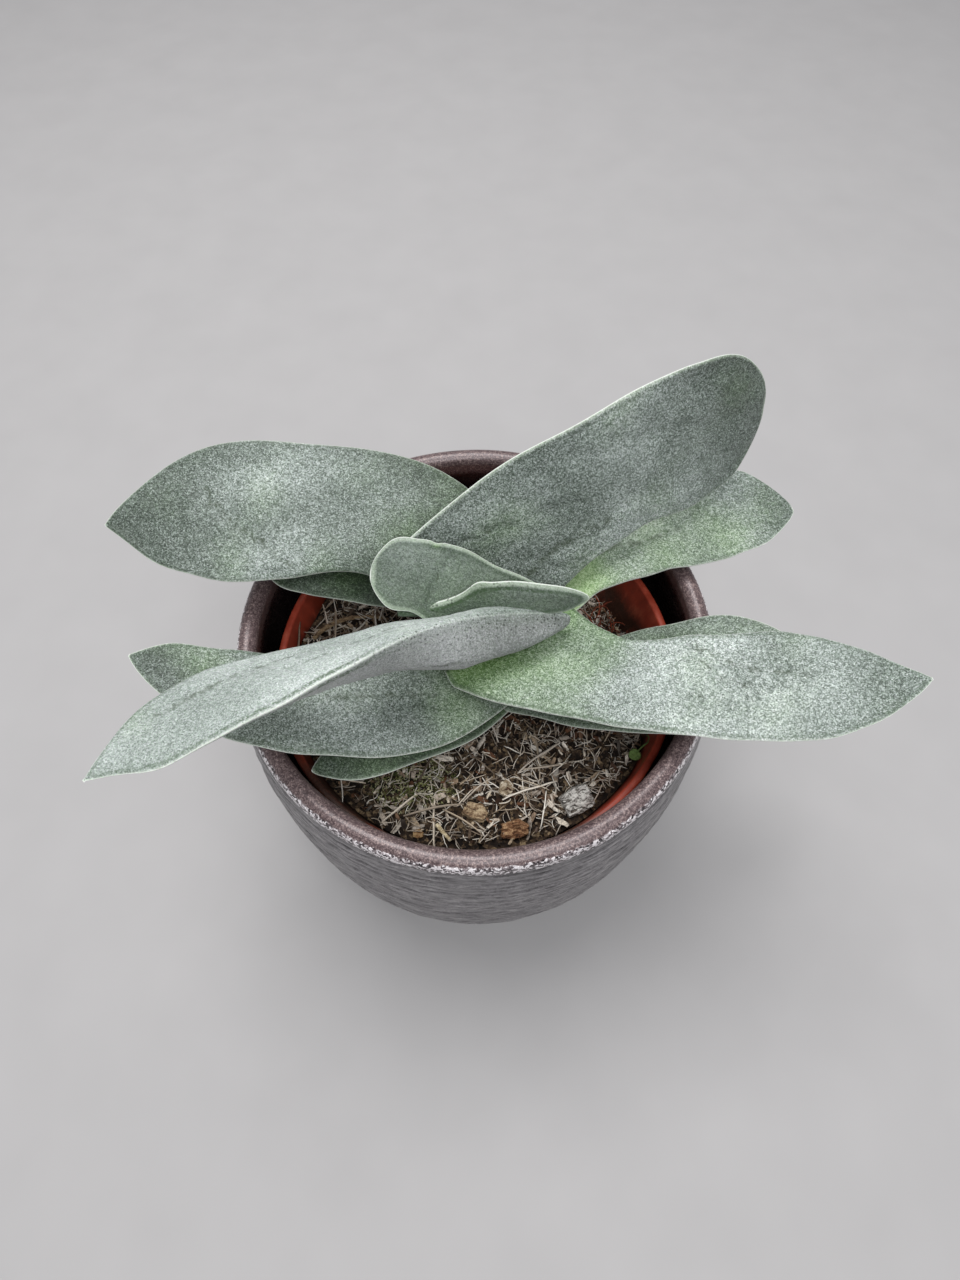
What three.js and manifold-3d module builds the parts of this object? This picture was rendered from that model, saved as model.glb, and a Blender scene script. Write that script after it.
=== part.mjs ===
// Potted crassula: a propeller plant in a plastic nursery pot, standing in a glazed outer pot.
// Millimetres, +Z up. The origin is the middle of the outer pot's flat foot.
import * as THREE from 'three';
import { mergeVertices } from 'three/addons/utils/BufferGeometryUtils.js';
import Module from 'manifold-3d';

const wasm = await Module();
wasm.setup();

// ---------------------------------------------------------------- driving dimensions

const GAP = 0.3;                          // air left between touching pieces
const ROUND = 48;                         // sides of the turned pots

// outer pot: radii and heights of its round shape
const POT = { height: 100, rim: 60, belly: 62.8, foot: 46, lipRadius: 2.5, wall: 5, floor: 6 };

// nursery pot, standing on the outer pot's floor and pushed to the front of it
const NURSERY = {
  y: -2.8, foot: POT.floor + GAP, top: 88, rim: 52.5, rimWidth: 2, skirt: 9,
  base: 38, wall: 0.9, drainHoles: 8, drainRadius: 3.5, drainCircle: 27,
};

// root ball: its level, and how far it has shrunk down along the wall on the right
const SOIL = { top: 81, ripple: 0.8, slump: 12, slumpHeading: 25, slumpSpread: 65, slumpFrom: 27 };

const STEM = { x: 6, y: 1, radius: 5, foot: 73, top: 109.5 };

// Leaf sections: places along the leaf at which its half-widths are given (the tip has none)
const STATIONS = [0, 0.25, 0.5, 0.75, 0.92];
const LEAF_STEPS = 18;                    // sections along a leaf
const LEAF_SIDES = 12;                    // points round a section
const FULLNESS = 2.6;                     // section outline: 2 is an ellipse, more has fuller margins

// Each leaf grows from its root and follows its midrib. Angles are in degrees: heading is the way it
// points in plan (0 is +X), sweep how far it turns sideways by its tip, rise its climb at the root,
// curl the change of that climb, roll its tilt about the midrib (positive lifts the left side), twist
// the change of roll, and slant how far the base is cut askew. left and right are the half-widths at
// STATIONS, seen from the root. tip is the power by which it closes: 1 is pointed, 0.5 round. thick is
// the thickness at mid-leaf, cup lifts the margins, and keel deepens the underside towards the base.
// They are listed from the youngest to the oldest.
const LEAVES = [
  { name: 'young_leaf_right', root: [-18, -4, 114], heading: 0, sweep: 0, rise: 6, curl: 3,
    length: 44, roll: 73, twist: 0, slant: 0, thick: 3, cup: 0, keel: 0.5,
    left: [1, 2, 6.5, 5, 3], right: [1, 2.5, 4, 4, 3], tip: 0.6 },
  { name: 'young_leaf_left', root: [16, 0, 112], heading: 174, sweep: 10, rise: 15, curl: -2,
    length: 41, roll: -35, twist: 0, slant: 0, thick: 3, cup: 2, keel: 1,
    left: [4, 9, 12, 8, 6], right: [3, 5, 8, 9, 7], tip: 0.5 },
  { name: 'leaf_left_front', root: [22, -5, 111], heading: 184, sweep: 42, rise: 14, curl: -10,
    length: 108, roll: 70, twist: -65, slant: 5, thick: 4.5, cup: 0.5, keel: 12,
    left: [1.5, 7, 14, 12, 6.5], right: [2, 8, 5, 10, 5], tip: 1 },
  { name: 'leaf_right_back', root: [0, 4, 108], heading: 30, sweep: 3, rise: 26, curl: -28,
    length: 88, roll: 53, twist: 21, slant: -32, thick: 4, cup: 1.5, keel: 3,
    left: [25, 24, 22, 21, 15], right: [16, 12, 12, 16, 13], tip: 0.5 },
  { name: 'leaf_right_front', root: [9, -5, 103], heading: -25, sweep: 28, rise: 7, curl: 2,
    length: 94, roll: 0, twist: -2, slant: 35, thick: 4.5, cup: 1.5, keel: 3,
    left: [16, 7, 11, 12, 5], right: [22, 17, 15, 13, 6], tip: 0.9 },
  { name: 'leaf_left_back', root: [-1, 7, 108], heading: 153, sweep: 40, rise: 15, curl: -18,
    length: 92, roll: -25, twist: 5, slant: 38, thick: 4.5, cup: 1.5, keel: 3,
    left: [16, 9, 15, 16, 8], right: [17, 22, 19, 16, 6], tip: 0.9 },
  { name: 'leaf_left_lower', root: [4, -4, 94], heading: 202, sweep: -31, rise: 9, curl: 3,
    length: 87, roll: -4, twist: -1, slant: -13, thick: 4, cup: 1, keel: 2,
    left: [14, 22, 20, 15, 6], right: [13, 10, 5, 5, 4], tip: 0.8 },
  { name: 'leaf_right_back_lower', root: [9, 5, 99], heading: 28, sweep: -16, rise: 9, curl: -9,
    length: 81, roll: 8, twist: -3, slant: -33, thick: 4, cup: 1, keel: 2,
    left: [13, 15, 16, 16, 12], right: [13, 7, 8, 10, 6], tip: 0.65 },
  { name: 'leaf_left_back_lower', root: [3, 5, 93], heading: 160, sweep: 15, rise: 14, curl: -4,
    length: 63, roll: -9, twist: 1, slant: 20, thick: 3.5, cup: 0.5, keel: 1.5,
    left: [10, 6, 7, 9, 6], right: [12, 13, 13, 10, 6], tip: 0.8 },
  { name: 'leaf_right_lower', root: [9, -4, 91], heading: -20, sweep: 12, rise: 17, curl: -3,
    length: 76, roll: 4, twist: 5, slant: -4, thick: 3.5, cup: 0.5, keel: 1.5,
    left: [12, 7, 13, 16, 9], right: [15, 16, 15, 12, 6], tip: 0.7 },
  { name: 'leaf_left_front_lowest', root: [4, -5, 88], heading: 222, sweep: -12, rise: 6, curl: 0,
    length: 53, roll: 2, twist: 0, slant: -6, thick: 3, cup: 0, keel: 1,
    left: [12, 14, 12, 9, 5], right: [8, 9, 9, 6, 3], tip: 0.7 },
];

// Bits of bark on the soil: where each lies, its turn, its size and how far it leans
const CHIPS = [
  { name: 'bark_chip_brown', at: [9.5, -46.5], turn: 12, size: [7.5, 4.6, 2.4], lean: 18, color: 0x6b4a33 },
  { name: 'bark_chip_tan', at: [0, -42.5], turn: -20, size: [6.4, 4.4, 1.8], lean: -10, color: 0x9a7a56 },
  { name: 'bark_chip_pale', at: [7.5, -36.5], turn: 70, size: [4.6, 3.6, 1.6], lean: 12, color: 0xb09a78 },
  { name: 'bark_chip_grey', at: [25, -39.5], turn: 30, size: [8, 6.4, 3.4], lean: 20, color: 0x77716a },
  { name: 'bark_chip_small', at: [-14, -47.5], turn: 5, size: [2.8, 2.2, 1.2], lean: 8, color: 0x8a6c4c },
];

// Sticks lying on the soil: three points each, given above the soil's level
const STICKS = [
  { name: 'pale_stick', thickness: 1.3, points: [[-9.5, -45.5, 0.6], [-7.7, -47.5, 0.9], [-6, -49.5, 1.2]] },
  { name: 'twig_left', thickness: 1.6, points: [[-45, 6, 0.8], [-37, 12, 1.2], [-26, 12.5, 0.7]] },
];

const COLORS = {
  glaze: 0x4a3f40, plastic: 0x9a3f2a, soil: 0x33281f, stem: 0x7c8a5f, leaf: 0x86a08e, oldLeaf: 0x5f7a64,
  stick: 0xa08c6c,
};

// ---------------------------------------------------------------- solids

// A closed geometry becomes a solid: shared points merged, flat triangles dropped, faces outwards.
function solidOf(geometry) {
  const plain = geometry.clone();
  plain.deleteAttribute('normal');
  plain.deleteAttribute('uv');
  const merged = mergeVertices(plain, 1e-4);
  const points = merged.attributes.position.array;
  const index = merged.index.array;
  const faces = [];
  let volume = 0;
  for (let i = 0; i < index.length; i += 3) {
    const [a, b, c] = [index[i], index[i + 1], index[i + 2]];
    if (a === b || b === c || c === a) continue;
    faces.push([a, b, c]);
    const [p, q, r] = [a, b, c].map((k) => new THREE.Vector3().fromArray(points, 3 * k));
    volume += p.dot(q.cross(r));
  }
  if (volume < 0) faces.forEach((face) => face.reverse());
  return new wasm.Manifold(new wasm.Mesh({
    numProp: 3,
    vertProperties: Float32Array.from(points),
    triVerts: Uint32Array.from(faces.flat()),
  }));
}

function geometryOf(solid) {
  const mesh = solid.getMesh();
  const geometry = new THREE.BufferGeometry();
  geometry.setAttribute('position', new THREE.BufferAttribute(mesh.vertProperties, 3));
  geometry.setIndex(new THREE.BufferAttribute(mesh.triVerts, 1));
  geometry.computeVertexNormals();
  return geometry;
}

const largestPiece = (solid) => solid.decompose().reduce((a, b) => (b.volume() > a.volume() ? b : a));
const radians = THREE.MathUtils.degToRad;
const smooth = THREE.MathUtils.smoothstep;

// A profile of [radius, height] points turned about the vertical axis
function turned(profile, sides = ROUND) {
  const points = profile.map(([radius, height]) => new THREE.Vector2(radius, height));
  return new THREE.LatheGeometry(points, sides).rotateX(Math.PI / 2);
}

const through = (points, steps) => new THREE.SplineCurve(points.map(([r, z]) => new THREE.Vector2(r, z)))
  .getPoints(steps).map((p) => [p.x, p.y]);

// ---------------------------------------------------------------- pots

// Outer pot: flat foot, round belly, a rounded lip, and an inside that follows the wall
function outerPot() {
  const lipHeight = POT.height - POT.lipRadius;
  const outside = through([
    [POT.foot, 0], [50.5, 2.6], [56, 9.5], [59.6, 19.5], [62, 35], [POT.belly, 54],
    [62.6, 72], [61.8, 85], [POT.rim, lipHeight],
  ], 16);
  const lip = [30, 60, 90, 120, 150].map((degrees) => [
    POT.rim - POT.lipRadius + POT.lipRadius * Math.cos(radians(degrees)),
    lipHeight + POT.lipRadius * Math.sin(radians(degrees)),
  ]);
  const inside = through([
    [POT.rim - 2 * POT.lipRadius, lipHeight], [55.6, 90], [POT.belly - POT.wall - 0.4, 76],
    [POT.belly - POT.wall, 54], [57, 34], [54, 18], [49, 9], [42, POT.floor],
  ], 12);
  return turned([[0, 0], ...outside, ...lip, ...inside, [0, POT.floor]]);
}

// Radius of the nursery pot's inner face at a height
function nurseryInside(height) {
  const share = (height - NURSERY.foot) / (NURSERY.top - NURSERY.foot);
  const [low, high] = [NURSERY.base - NURSERY.wall, NURSERY.rim - NURSERY.rimWidth];
  return low + share * (high - low);
}

// Nursery pot: thin tapered wall, turned-out rim with a short skirt, drain holes in the floor
function nurseryPot() {
  const skirtFoot = NURSERY.top - NURSERY.skirt;
  const shell = turned([
    [0, NURSERY.foot], [NURSERY.base - 1, NURSERY.foot], [NURSERY.base, NURSERY.foot + 1],
    [nurseryInside(skirtFoot) + NURSERY.wall, skirtFoot - 0.8], [NURSERY.rim - 0.6, skirtFoot],
    [NURSERY.rim, NURSERY.top - 0.6], [NURSERY.rim - 0.5, NURSERY.top],
    [NURSERY.rim - NURSERY.rimWidth + 0.4, NURSERY.top], [NURSERY.rim - NURSERY.rimWidth, NURSERY.top - 0.6],
    [nurseryInside(skirtFoot), skirtFoot], [nurseryInside(NURSERY.foot + 2), NURSERY.foot + 2],
    [NURSERY.base - 2.5, NURSERY.foot + NURSERY.wall], [0, NURSERY.foot + NURSERY.wall],
  ]);
  let pot = solidOf(shell);
  for (let i = 0; i < NURSERY.drainHoles; i += 1) {
    const angle = (2 * Math.PI * i) / NURSERY.drainHoles;
    const hole = new THREE.CylinderGeometry(NURSERY.drainRadius, NURSERY.drainRadius, 4, 16);
    hole.rotateX(Math.PI / 2).translate(NURSERY.drainCircle * Math.cos(angle),
      NURSERY.drainCircle * Math.sin(angle), NURSERY.foot);
    pot = pot.subtract(solidOf(hole));
  }
  return pot.translate(0, NURSERY.y, 0);
}

// ---------------------------------------------------------------- soil

// Height of the soil at a place: gently uneven, and shrunk down towards the wall on the right
function soilTop(x, y) {
  const radius = Math.hypot(x, y - NURSERY.y);
  const offHeading = Math.abs(THREE.MathUtils.euclideanModulo(
    THREE.MathUtils.radToDeg(Math.atan2(y - NURSERY.y, x)) - SOIL.slumpHeading + 180, 360) - 180);
  const slump = SOIL.slump * smooth(radius, SOIL.slumpFrom, NURSERY.rim - 8)
    * (1 - smooth(offHeading, 0.35 * SOIL.slumpSpread, SOIL.slumpSpread));
  return SOIL.top - slump + SOIL.ripple * (Math.sin(x / 7 + 1) * Math.cos(y / 6) + Math.sin((x + y) / 4.3));
}

// Root ball: fills the nursery pot, with its top drawn to soilTop
function soilBall() {
  const foot = NURSERY.foot + NURSERY.wall + GAP;
  const wallAt = (height) => nurseryInside(height) - 1.4 * GAP;
  const geometry = turned([
    [0, foot], [NURSERY.base - 3, foot], [wallAt(foot + 4), foot + 4], [wallAt(45), 45],
    [wallAt(SOIL.top), SOIL.top], ...[44, 38, 32, 26, 19, 11].map((radius) => [radius, SOIL.top]),
    [0, SOIL.top],
  ], 40);
  const place = geometry.attributes.position;
  for (let i = 0; i < place.count; i += 1) {
    const [x, y, z] = [place.getX(i), place.getY(i), place.getZ(i)];
    if (z < foot + 5) continue;
    const lowered = foot + ((z - foot) / (SOIL.top - foot)) * (soilTop(x, y + NURSERY.y) - foot);
    const drawnIn = Math.min(1, wallAt(lowered) / wallAt(z));
    place.setXYZ(i, x * drawnIn, y * drawnIn, lowered);
  }
  return solidOf(geometry).translate(0, NURSERY.y, 0);
}

// ---------------------------------------------------------------- plant

// Stem: short and thick, with a ring where each pair of leaves has grown
function stem(grow = 0) {
  const rings = [];
  for (let height = STEM.foot + 6; height < STEM.top - 4; height += 6) {
    rings.push([STEM.radius + grow, height], [STEM.radius + 0.7 + grow, height + 3]);
  }
  const profile = [
    [0, STEM.foot - grow], [STEM.radius - 0.6 + grow, STEM.foot - grow], ...rings,
    [STEM.radius - 1 + grow, STEM.top - 1], [STEM.radius - 2 + grow, STEM.top + grow], [0, STEM.top + grow],
  ];
  return solidOf(turned(profile, 16).translate(STEM.x, STEM.y, 0));
}

// The midrib of a leaf as a list of sections: place, direction, sideways, upwards and share of length.
// Sections lie closer together towards the tip, so that it comes out round.
function midrib(leaf) {
  const place = new THREE.Vector3(...leaf.root);
  const sections = [];
  let last = 0;
  for (let i = 0; i <= LEAF_STEPS; i += 1) {
    const share = 1 - (1 - i / LEAF_STEPS) ** 1.4;
    place.addScaledVector(directionAt(leaf, (share + last) / 2), (share - last) * leaf.length);
    const along = directionAt(leaf, share);
    const heading = radians(leaf.heading + leaf.sweep * share);
    const level = new THREE.Vector3(-Math.sin(heading), Math.cos(heading), 0);
    const roll = radians(leaf.roll + leaf.twist * share);
    const side = level.clone().applyAxisAngle(along, roll);
    const up = along.clone().cross(side);
    const askew = radians(leaf.slant) * Math.max(0, 1 - share / 0.6) ** 2;
    side.multiplyScalar(Math.cos(askew)).addScaledVector(along, Math.sin(askew));
    sections.push({ place: place.clone(), side, up, share });
    last = share;
  }
  return sections;
}

function directionAt(leaf, share) {
  const heading = radians(leaf.heading + leaf.sweep * share);
  const climb = radians(leaf.rise + leaf.curl * share);
  return new THREE.Vector3(
    Math.cos(climb) * Math.cos(heading), Math.cos(climb) * Math.sin(heading), Math.sin(climb));
}

// Half-width at a share of the length: a smooth curve through the widths at STATIONS, which then
// closes to the tip. The tip is round where its power is near 0.5 and pointed where it is near 1.
function widthAt(widths, tipPower, share) {
  const last = STATIONS.length - 1;
  if (share >= STATIONS[last]) return widths[last] * ((1 - share) / (1 - STATIONS[last])) ** tipPower;
  const rate = (k) => (widths[k + 1] - widths[k]) / (STATIONS[k + 1] - STATIONS[k]);
  const slope = (k) => {
    if (k === 0) return rate(0);
    if (k === last) return (-tipPower * widths[last]) / (1 - STATIONS[last]);
    const [before, after] = [STATIONS[k] - STATIONS[k - 1], STATIONS[k + 1] - STATIONS[k]];
    return (rate(k - 1) * after + rate(k) * before) / (before + after);
  };
  const k = STATIONS.findLastIndex((station) => share >= station);
  const step = STATIONS[k + 1] - STATIONS[k];
  const t = (share - STATIONS[k]) / step;
  return (1 + 2 * t) * (1 - t) ** 2 * widths[k] + t * (1 - t) ** 2 * step * slope(k)
    + t * t * (3 - 2 * t) * widths[k + 1] + t * t * (t - 1) * step * slope(k + 1);
}

// A leaf is a closed loft: rounded sections along the midrib, a flat base and a pointed tip.
// grow makes it that much larger all round, for the room that its neighbours leave it.
function leafSolid(leaf, grow = 0) {
  const sections = midrib(leaf);
  const points = [];
  for (const { place, side, up, share } of sections.slice(0, -1)) {
    const baseRound = Math.min(1, 0.85 + share * 4);
    const left = Math.max(0.6, widthAt(leaf.left, leaf.tip, share) * baseRound) + grow;
    const right = Math.max(0.6, widthAt(leaf.right, leaf.tip, share) * baseRound) + grow;
    const tipRound = Math.min(1, Math.sqrt((1 - share) / 0.3));
    const half = (leaf.thick / 2) * (0.75 + 0.5 * (1 - share) ** 2) * tipRound + grow;
    const keel = leaf.keel * (1 - share) ** 1.4 * Math.min(1, share / 0.25);
    for (let k = 0; k < LEAF_SIDES; k += 1) {
      const angle = (2 * Math.PI * k) / LEAF_SIDES;
      const across = Math.sign(Math.cos(angle)) * Math.abs(Math.cos(angle)) ** (2 / FULLNESS);
      const high = Math.sign(Math.sin(angle)) * Math.abs(Math.sin(angle)) ** (2 / FULLNESS);
      const below = keel * Math.max(0, -Math.sin(angle)) ** 2;
      points.push(place.clone()
        .addScaledVector(side, across * (across > 0 ? left : right))
        .addScaledVector(up, high * half - below + leaf.cup * across ** 2 * tipRound));
    }
  }
  const base = points.length;
  const tip = base + 1;
  const ends = [sections[0], sections.at(-1)];
  points.push(ends[0].place, ends[1].place.clone().addScaledVector(directionAt(leaf, 1), grow));
  const faces = [];
  for (let i = 0; i < LEAF_STEPS; i += 1) {
    for (let k = 0; k < LEAF_SIDES; k += 1) {
      const next = (k + 1) % LEAF_SIDES;
      const [a, b] = [i * LEAF_SIDES + k, i * LEAF_SIDES + next];
      if (i === 0) faces.push(base, b, a);
      if (i === LEAF_STEPS - 1) faces.push(a, b, tip);
      else faces.push(a, b, b + LEAF_SIDES, a, b + LEAF_SIDES, a + LEAF_SIDES);
    }
  }
  const geometry = new THREE.BufferGeometry().setFromPoints(points);
  geometry.setIndex(faces);
  return solidOf(geometry);
}

// ---------------------------------------------------------------- bark and sticks

// A flake of bark: an uneven outline with some thickness, leaning on the soil
function barkChip(chip, grow = 0) {
  const [length, width, height] = chip.size.map((value) => value + 2 * grow);
  const outline = [[-0.5, -0.3], [-0.1, -0.5], [0.42, -0.42], [0.5, 0.1], [0.2, 0.5], [-0.38, 0.4]];
  const shape = new THREE.Shape(outline.map(([u, v]) => new THREE.Vector2(u * length, v * width)));
  const [x, y] = chip.at;
  return solidOf(new THREE.ExtrudeGeometry(shape, { depth: height, bevelEnabled: false })
    .translate(0, 0, -height / 2).rotateX(radians(chip.lean)).rotateZ(radians(chip.turn))
    .translate(x, y, soilTop(x, y) + 0.3 * chip.size[2]));
}

function stickSolid(stick, grow = 0) {
  const points = stick.points.map(([x, y, above]) => new THREE.Vector3(x, y, soilTop(x, y) + above));
  const section = new THREE.Shape().absarc(0, 0, stick.thickness / 2 + grow, 0, 2 * Math.PI);
  return solidOf(new THREE.ExtrudeGeometry(section, {
    steps: 6, curveSegments: 8, extrudePath: new THREE.CatmullRomCurve3(points),
  }));
}

// ---------------------------------------------------------------- the assembly

const plant = new THREE.Group();

function addPiece(name, solid, color, roughness, metalness = 0) {
  const material = new THREE.MeshStandardMaterial({ color, roughness, metalness });
  const mesh = new THREE.Mesh(geometryOf(solid), material);
  mesh.name = name;
  plant.add(mesh);
}

addPiece('cache_pot', solidOf(outerPot()), COLORS.glaze, 0.35, 0.2);
addPiece('nursery_pot', nurseryPot(), COLORS.plastic, 0.5);

// The soil has a pocket for everything that stands or lies in it
let soil = soilBall().subtract(stem(GAP));
for (const chip of CHIPS) soil = soil.subtract(barkChip(chip, GAP));
for (const stick of STICKS) soil = soil.subtract(stickSolid(stick, GAP));
addPiece('soil', largestPiece(soil), COLORS.soil, 0.95);
for (const chip of CHIPS) addPiece(chip.name, barkChip(chip), chip.color, 0.9);
for (const stick of STICKS) addPiece(stick.name, stickSolid(stick), COLORS.stick, 0.9);

// Each leaf clasps the stem and gives way to the younger leaves that lie on it
addPiece('stem', stem(), COLORS.stem, 0.7);
LEAVES.forEach((leaf, age) => {
  let solid = leafSolid(leaf).subtract(stem(GAP));
  for (const younger of LEAVES.slice(0, age)) solid = solid.subtract(leafSolid(younger, GAP));
  addPiece(leaf.name, largestPiece(solid), age < 6 ? COLORS.leaf : COLORS.oldLeaf, 0.75);
});

export default plant;
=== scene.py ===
import math
import random

import bmesh
import bpy
import numpy as np
from mathutils import Matrix, Vector, noise


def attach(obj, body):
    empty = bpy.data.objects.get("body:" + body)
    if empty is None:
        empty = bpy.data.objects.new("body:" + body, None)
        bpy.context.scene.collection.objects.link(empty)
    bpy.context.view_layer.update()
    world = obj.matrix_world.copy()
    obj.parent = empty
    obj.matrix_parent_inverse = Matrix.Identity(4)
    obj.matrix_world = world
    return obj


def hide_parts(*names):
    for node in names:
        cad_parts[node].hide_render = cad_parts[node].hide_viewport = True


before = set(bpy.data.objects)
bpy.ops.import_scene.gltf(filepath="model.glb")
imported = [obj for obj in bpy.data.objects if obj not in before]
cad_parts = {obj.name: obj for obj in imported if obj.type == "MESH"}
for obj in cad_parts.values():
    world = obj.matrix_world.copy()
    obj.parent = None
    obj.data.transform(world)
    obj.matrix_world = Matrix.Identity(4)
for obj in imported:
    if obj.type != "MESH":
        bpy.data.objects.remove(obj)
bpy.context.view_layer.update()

# ---------------------------------------------------------------- outer pot
# A stoneware pot thrown on a wheel, 100 mm high, with throwing ridges round its belly and a
# rounded lip. Its dark metallic glaze breaks into coarse sparkle at the outer edge of the lip
# and is smooth and brown inside. It carries everything else.
MM = 0.001
POT_SIDES = 288
POT_FOOT = 46 * MM
POT_LIP_CENTRE = (57.5 * MM, 97.5 * MM)
POT_LIP_RADIUS = 2.5 * MM
WALL_PLACES = [(46, 0), (50.5, 2.6), (56, 9.5), (59.6, 19.5), (62, 35), (62.8, 54), (62.6, 72),
               (61.8, 85), (60, 97.5)]
INSIDE_PLACES = [(55, 97.5), (55.6, 90), (57.4, 76), (57.8, 54), (57, 34), (54, 18), (49, 9), (42, 6)]
ZONE_WALL, ZONE_EDGE, ZONE_LIP, ZONE_INSIDE = 0.0, 1.0, 2.0, 3.0


def wire(tree, kind, inputs=None, **settings):
    """Adds a node to a tree; an input is a plain value or another node's output."""
    node = tree.nodes.new(kind)
    for name, value in settings.items():
        setattr(node, name, value)
    for name, value in (inputs or {}).items():
        if isinstance(value, bpy.types.NodeSocket):
            tree.links.new(value, node.inputs[name])
        else:
            node.inputs[name].default_value = value
    return node


def calc(tree, operation, *values, clamp=False):
    return wire(tree, "ShaderNodeMath", dict(enumerate(values)), operation=operation,
                use_clamp=clamp).outputs[0]


def times(tree, first, *rest):
    """The product of all values."""
    for value in rest:
        first = calc(tree, "MULTIPLY", first, value)
    return first


def plus(tree, first, *rest):
    """The sum of all values."""
    for value in rest:
        first = calc(tree, "ADD", first, value)
    return first


def ease(tree, value, start, end, low=0.0, high=1.0):
    """A smooth rise from low to high while value goes from start to end."""
    inputs = {"Value": value, "From Min": start, "From Max": end, "To Min": low, "To Max": high}
    return wire(tree, "ShaderNodeMapRange", inputs, interpolation_type="SMOOTHSTEP").outputs[0]


def new_tree(name, sizes):
    """An empty geometry tree with named inputs; returns it, its inputs and its way out."""
    tree = bpy.data.node_groups.new(name, "GeometryNodeTree")
    tree.interface.new_socket("Geometry", in_out="INPUT", socket_type="NodeSocketGeometry")
    for label, kind, value in sizes:
        socket = tree.interface.new_socket(label, in_out="INPUT", socket_type="NodeSocket" + kind)
        if value is not None:
            socket.default_value = value
    tree.interface.new_socket("Geometry", in_out="OUTPUT", socket_type="NodeSocketGeometry")
    return tree, tree.nodes.new("NodeGroupInput").outputs, tree.nodes.new("NodeGroupOutput").inputs[0]


def in_scene(name, data):
    obj = bpy.data.objects.new(name, data)
    bpy.context.scene.collection.objects.link(obj)
    return obj


def made_by(tree, base, **values):
    """Runs a geometry tree on an object and keeps the result as its plain mesh."""
    modifier = base.modifiers.new("maker", "NODES")
    modifier.node_group = tree
    for item in tree.interface.items_tree:
        if item.item_type == "SOCKET" and item.in_out == "INPUT" and item.name in values:
            modifier[item.identifier] = values[item.name]
    graph = bpy.context.evaluated_depsgraph_get()
    mesh = bpy.data.meshes.new_from_object(base.evaluated_get(graph), preserve_all_data_layers=True,
                                           depsgraph=graph)
    base.modifiers.remove(modifier)
    base.data = mesh
    return base


def piece(name, points, faces, **marks):
    """A new object from points in metres, with a float attribute for each mark."""
    mesh = bpy.data.meshes.new(name)
    mesh.from_pydata([tuple(p) for p in points], [], [tuple(f) for f in faces])
    for label, values in marks.items():
        marks_here = mesh.attributes.new(label, "FLOAT", "POINT").data
        marks_here.foreach_set("value", np.asarray(values, np.float32))
    return in_scene(name, mesh)


def faces_out(obj):
    """Merges doubles, turns every face outwards and shades them smoothly."""
    shape = bmesh.new()
    shape.from_mesh(obj.data)
    bmesh.ops.remove_doubles(shape, verts=shape.verts, dist=1e-6)
    bmesh.ops.recalc_face_normals(shape, faces=shape.faces)
    shape.to_mesh(obj.data)
    shape.free()
    obj.data.polygons.foreach_set("use_smooth", [True] * len(obj.data.polygons))
    return obj


def rounded(places, steps):
    """Points on a smooth curve through the given places, in metres."""
    ends = [places[0]] + list(places) + [places[-1]]
    out = []
    for i in range(steps + 1):
        at = i / steps * (len(places) - 1)
        k = min(int(at), len(places) - 2)
        t = at - k
        p0, p1, p2, p3 = (np.array(ends[k + j], float) for j in range(4))
        bend = (2 * p0 - 5 * p1 + 4 * p2 - p3) * t * t + (3 * p1 - p0 - 3 * p2 + p3) * t ** 3
        out.append(tuple(0.5 * (2 * p1 + (p2 - p0) * t + bend) * MM))
    return out


def outline(places_and_zones, name):
    """The half section of a turned pot, as a line of points with a zone mark on each."""
    points = [(r, 0, z) for (r, z), _ in places_and_zones]
    mesh = bpy.data.meshes.new(name)
    mesh.from_pydata(points, [(i, i + 1) for i in range(len(points) - 1)], [])
    marks = mesh.attributes.new("zone", "FLOAT", "POINT").data
    marks.foreach_set("value", [zone for _, zone in places_and_zones])
    return in_scene(name, mesh)


turned_pot, given, way_out = new_tree("turned pot", [
    ("Sides", "Int", POT_SIDES), ("Ridge Height", "Float", 0.0), ("Ridge Pitch", "Float", 1.3 * MM),
    ("Ridge Foot", "Float", 0.0), ("Wobble", "Float", 0.0), ("Seed", "Float", 0.0),
    ("Material", "Material", None),
])
t = turned_pot
rows = wire(t, "GeometryNodeAttributeDomainSize",
            {"Geometry": given["Geometry"]}).outputs["Point Count"]
columns = plus(t, given["Sides"], 1)
grid = wire(t, "GeometryNodeMeshGrid",
            {"Size X": 1, "Size Y": 1, "Vertices X": columns, "Vertices Y": rows})
index = wire(t, "GeometryNodeInputIndex").outputs[0]
row = calc(t, "MODULO", index, rows)
column = calc(t, "FLOOR", calc(t, "DIVIDE", index, rows))
place = wire(t, "GeometryNodeSampleIndex", {
    "Geometry": given["Geometry"], "Value": wire(t, "GeometryNodeInputPosition").outputs[0],
    "Index": row,
}, data_type="FLOAT_VECTOR", domain="POINT").outputs[0]
zone = wire(t, "GeometryNodeSampleIndex", {
    "Geometry": given["Geometry"],
    "Value": wire(t, "GeometryNodeInputNamedAttribute", {"Name": "zone"},
                  data_type="FLOAT").outputs[0], "Index": row,
}, data_type="FLOAT", domain="POINT").outputs[0]
split = wire(t, "ShaderNodeSeparateXYZ", {0: place}).outputs
turn = times(t, calc(t, "DIVIDE", column, given["Sides"]), 2 * math.pi)
cosine, sine = calc(t, "COSINE", turn), calc(t, "SINE", turn)


def pot_noise(across, upright):
    """Noise over the wall, with features of the given width and height."""
    vector = wire(t, "ShaderNodeCombineXYZ", {
        0: calc(t, "DIVIDE", times(t, cosine, split[0]), across),
        1: calc(t, "DIVIDE", times(t, sine, split[0]), across),
        2: plus(t, calc(t, "DIVIDE", split[2], upright), given["Seed"]),
    }).outputs[0]
    made = wire(t, "ShaderNodeTexNoise", {"Vector": vector, "Scale": 1.0, "Detail": 1.5}).outputs[0]
    return calc(t, "SUBTRACT", made, 0.5)


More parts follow.
